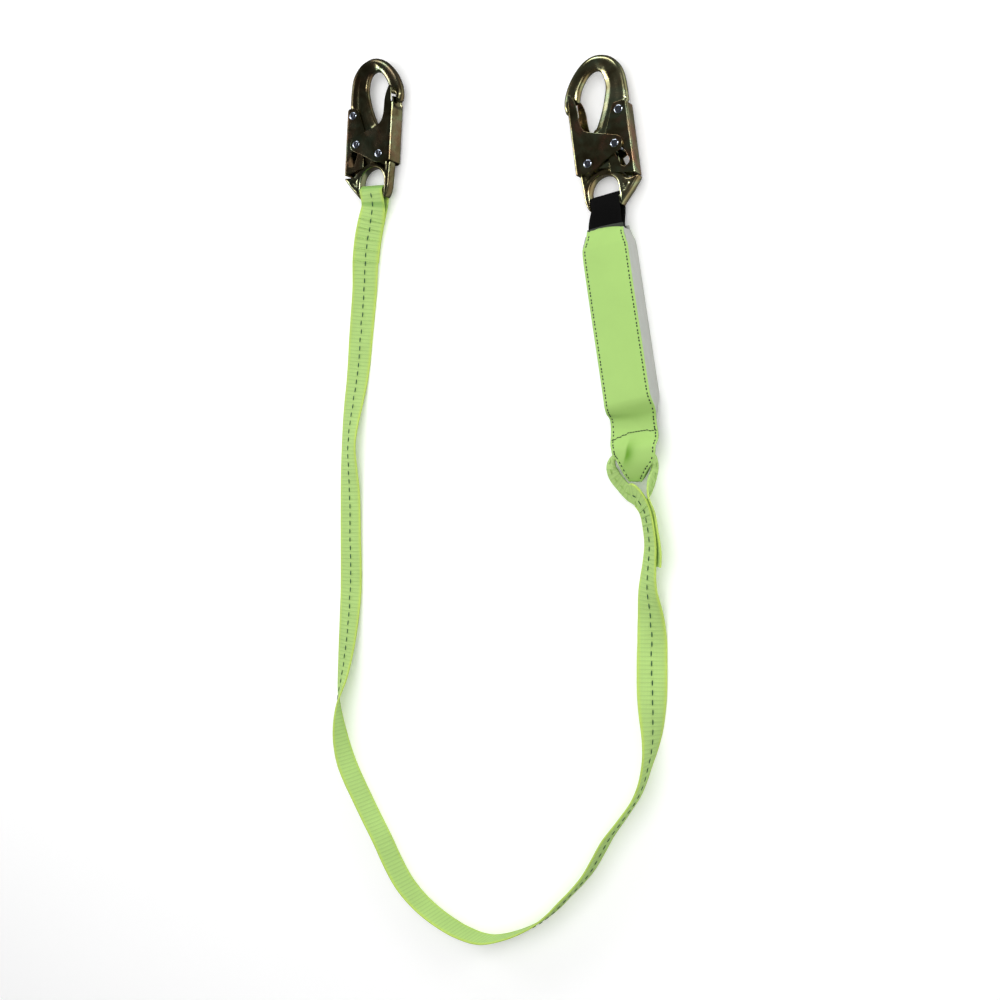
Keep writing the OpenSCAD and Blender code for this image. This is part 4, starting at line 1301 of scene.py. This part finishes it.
def build_inner_webbing():
    """The folded tear webbing, the backup webbing under it, and the tail's loop."""
    folds, pitch, low = 8, 14.6 / 8, 5.2
    line = []
    for k in range(folds):
        z = low + k * pitch
        near, far = (22, 146) if k % 2 == 0 else (146, 22)
        bulge = 1.6 if far == 146 else -1.6
        line += [on_pack(near, z), on_pack((near + far) / 2, z), on_pack(far, z)]
        if k < folds - 1:
            line.append(on_pack(far + bulge, z + pitch / 2))
    fine, _ = evenly(smooth(line, 4), 2.5)
    count = len(fine)
    tear = band("tear_webbing_folds", fine, np.tile(ACROSS_PACK, (count, 1)),
                np.full(count, 35.0), np.full(count, 1.1), WHITE_WEBBING, 9)
    ride(tear, "pack", "inner_webbing", "tear_webbing")
    line = np.array([on_pack(s, 3) for s in np.linspace(16, 150, 40)])
    backup = band("backup_strap", line, np.tile(ACROSS_PACK, (40, 1)), np.full(40, 30.0),
                  np.full(40, 1.6), BLACK_WEBBING, 9)
    ride(backup, "pack", "inner_webbing", "backup_webbing")
    rows = [(55, 11.8, 26), (46, 12, 25), (40, 14.1, 24), (34, 18.3, 23), (26, 18.6, 21),
            (18, 16.7, 17), (12, 13.6, 13), (9.5, 10.4, 11), (12, 7, 13), (18, 3.8, 17),
            (26, 2.2, 21), (34, 2.2, 23), (46, 2.6, 25), (55, 2.8, 26)]
    fine, _ = evenly(smooth([(*on_tail(y, z), w) for y, z, w in rows], 8), 1.2)
    loop = band("tail_loop", fine[:, :3], np.tile(ACROSS_TAIL, (len(fine), 1)), fine[:, 3],
                np.full(len(fine), 1.6), BLACK_WEBBING, 13)
    ride(loop, "pack", "black_webbing", "pack_end_loop")


def build_hook_loop():
    """The black loop that holds hook B, both its legs running into the cover's mouth."""
    yaw = YAW["b"]
    axis = np.array([math.cos(yaw), math.sin(yaw), 0])
    run = np.array([math.sin(yaw), -math.cos(yaw), 0])
    radius, width, bar = EYE_BAR_R + 0.35 + 1.0, 27.5, BAR["b"]
    turn = [bar + radius * (math.cos(a) * -run + math.sin(a) * UP)
            for a in np.radians(range(-90, 91, 30))]
    under = [on_pack(13, 9), on_pack(4, 8.6), on_pack(-6, 7.6), bar + 8 * run - 5.9 * UP]
    over = [bar + 8 * run + 5.9 * UP, on_pack(-6, 14.8), on_pack(4, 14), on_pack(13, 13.4)]
    wide = [35, 35, 32.5, width]
    widths = wide + [width] * len(turn) + wide[::-1]
    sides = [ACROSS_PACK] * 3 + [-axis] * (len(turn) + 2) + [ACROSS_PACK] * 3
    rows = [[*p, *s, w] for p, s, w in zip(under + turn + over, sides, widths)]
    fine, _ = evenly(smooth(rows, 10), 0.6)
    ribs = lambda s, a: 0.1 * np.abs(np.sin(math.pi * s / 2.0)) + 0 * a
    loop = band("hook_loop_strap", fine[:, :3], fine[:, 3:6], fine[:, 6],
                np.full(len(fine), 1.85), BLACK_WEBBING, 21, ribs)
    ride(loop, "pack", "black_webbing", "hook_loop_webbing")
    places = [np.array(on_pack(s, 15.1)) + ACROSS_PACK * a
              for s in (7, 10) for a in np.linspace(-14, 14, 9)]
    count = len(places)
    thread = stitch_row("hook_loop_thread", places, np.tile(ACROSS_PACK, (count, 1)),
                        np.tile(UP, (count, 1)), (2.6, 1.0, 0.8), BLACK_THREAD)
    ride(thread, "pack", "thread", "hook_loop_stitching")


# ------------------------------------------------------------------ everything
add_camera()
add_studio()
leg, leg_line, leg_length, leg_band, leg_lead = build_leg()
build_leg_stitching(leg_band, leg_lead)
for hook_side in "ab":
    build_hook(hook_side)
build_cover()
build_inner_webbing()
build_hook_loop()

bpy.context.view_layer.update()
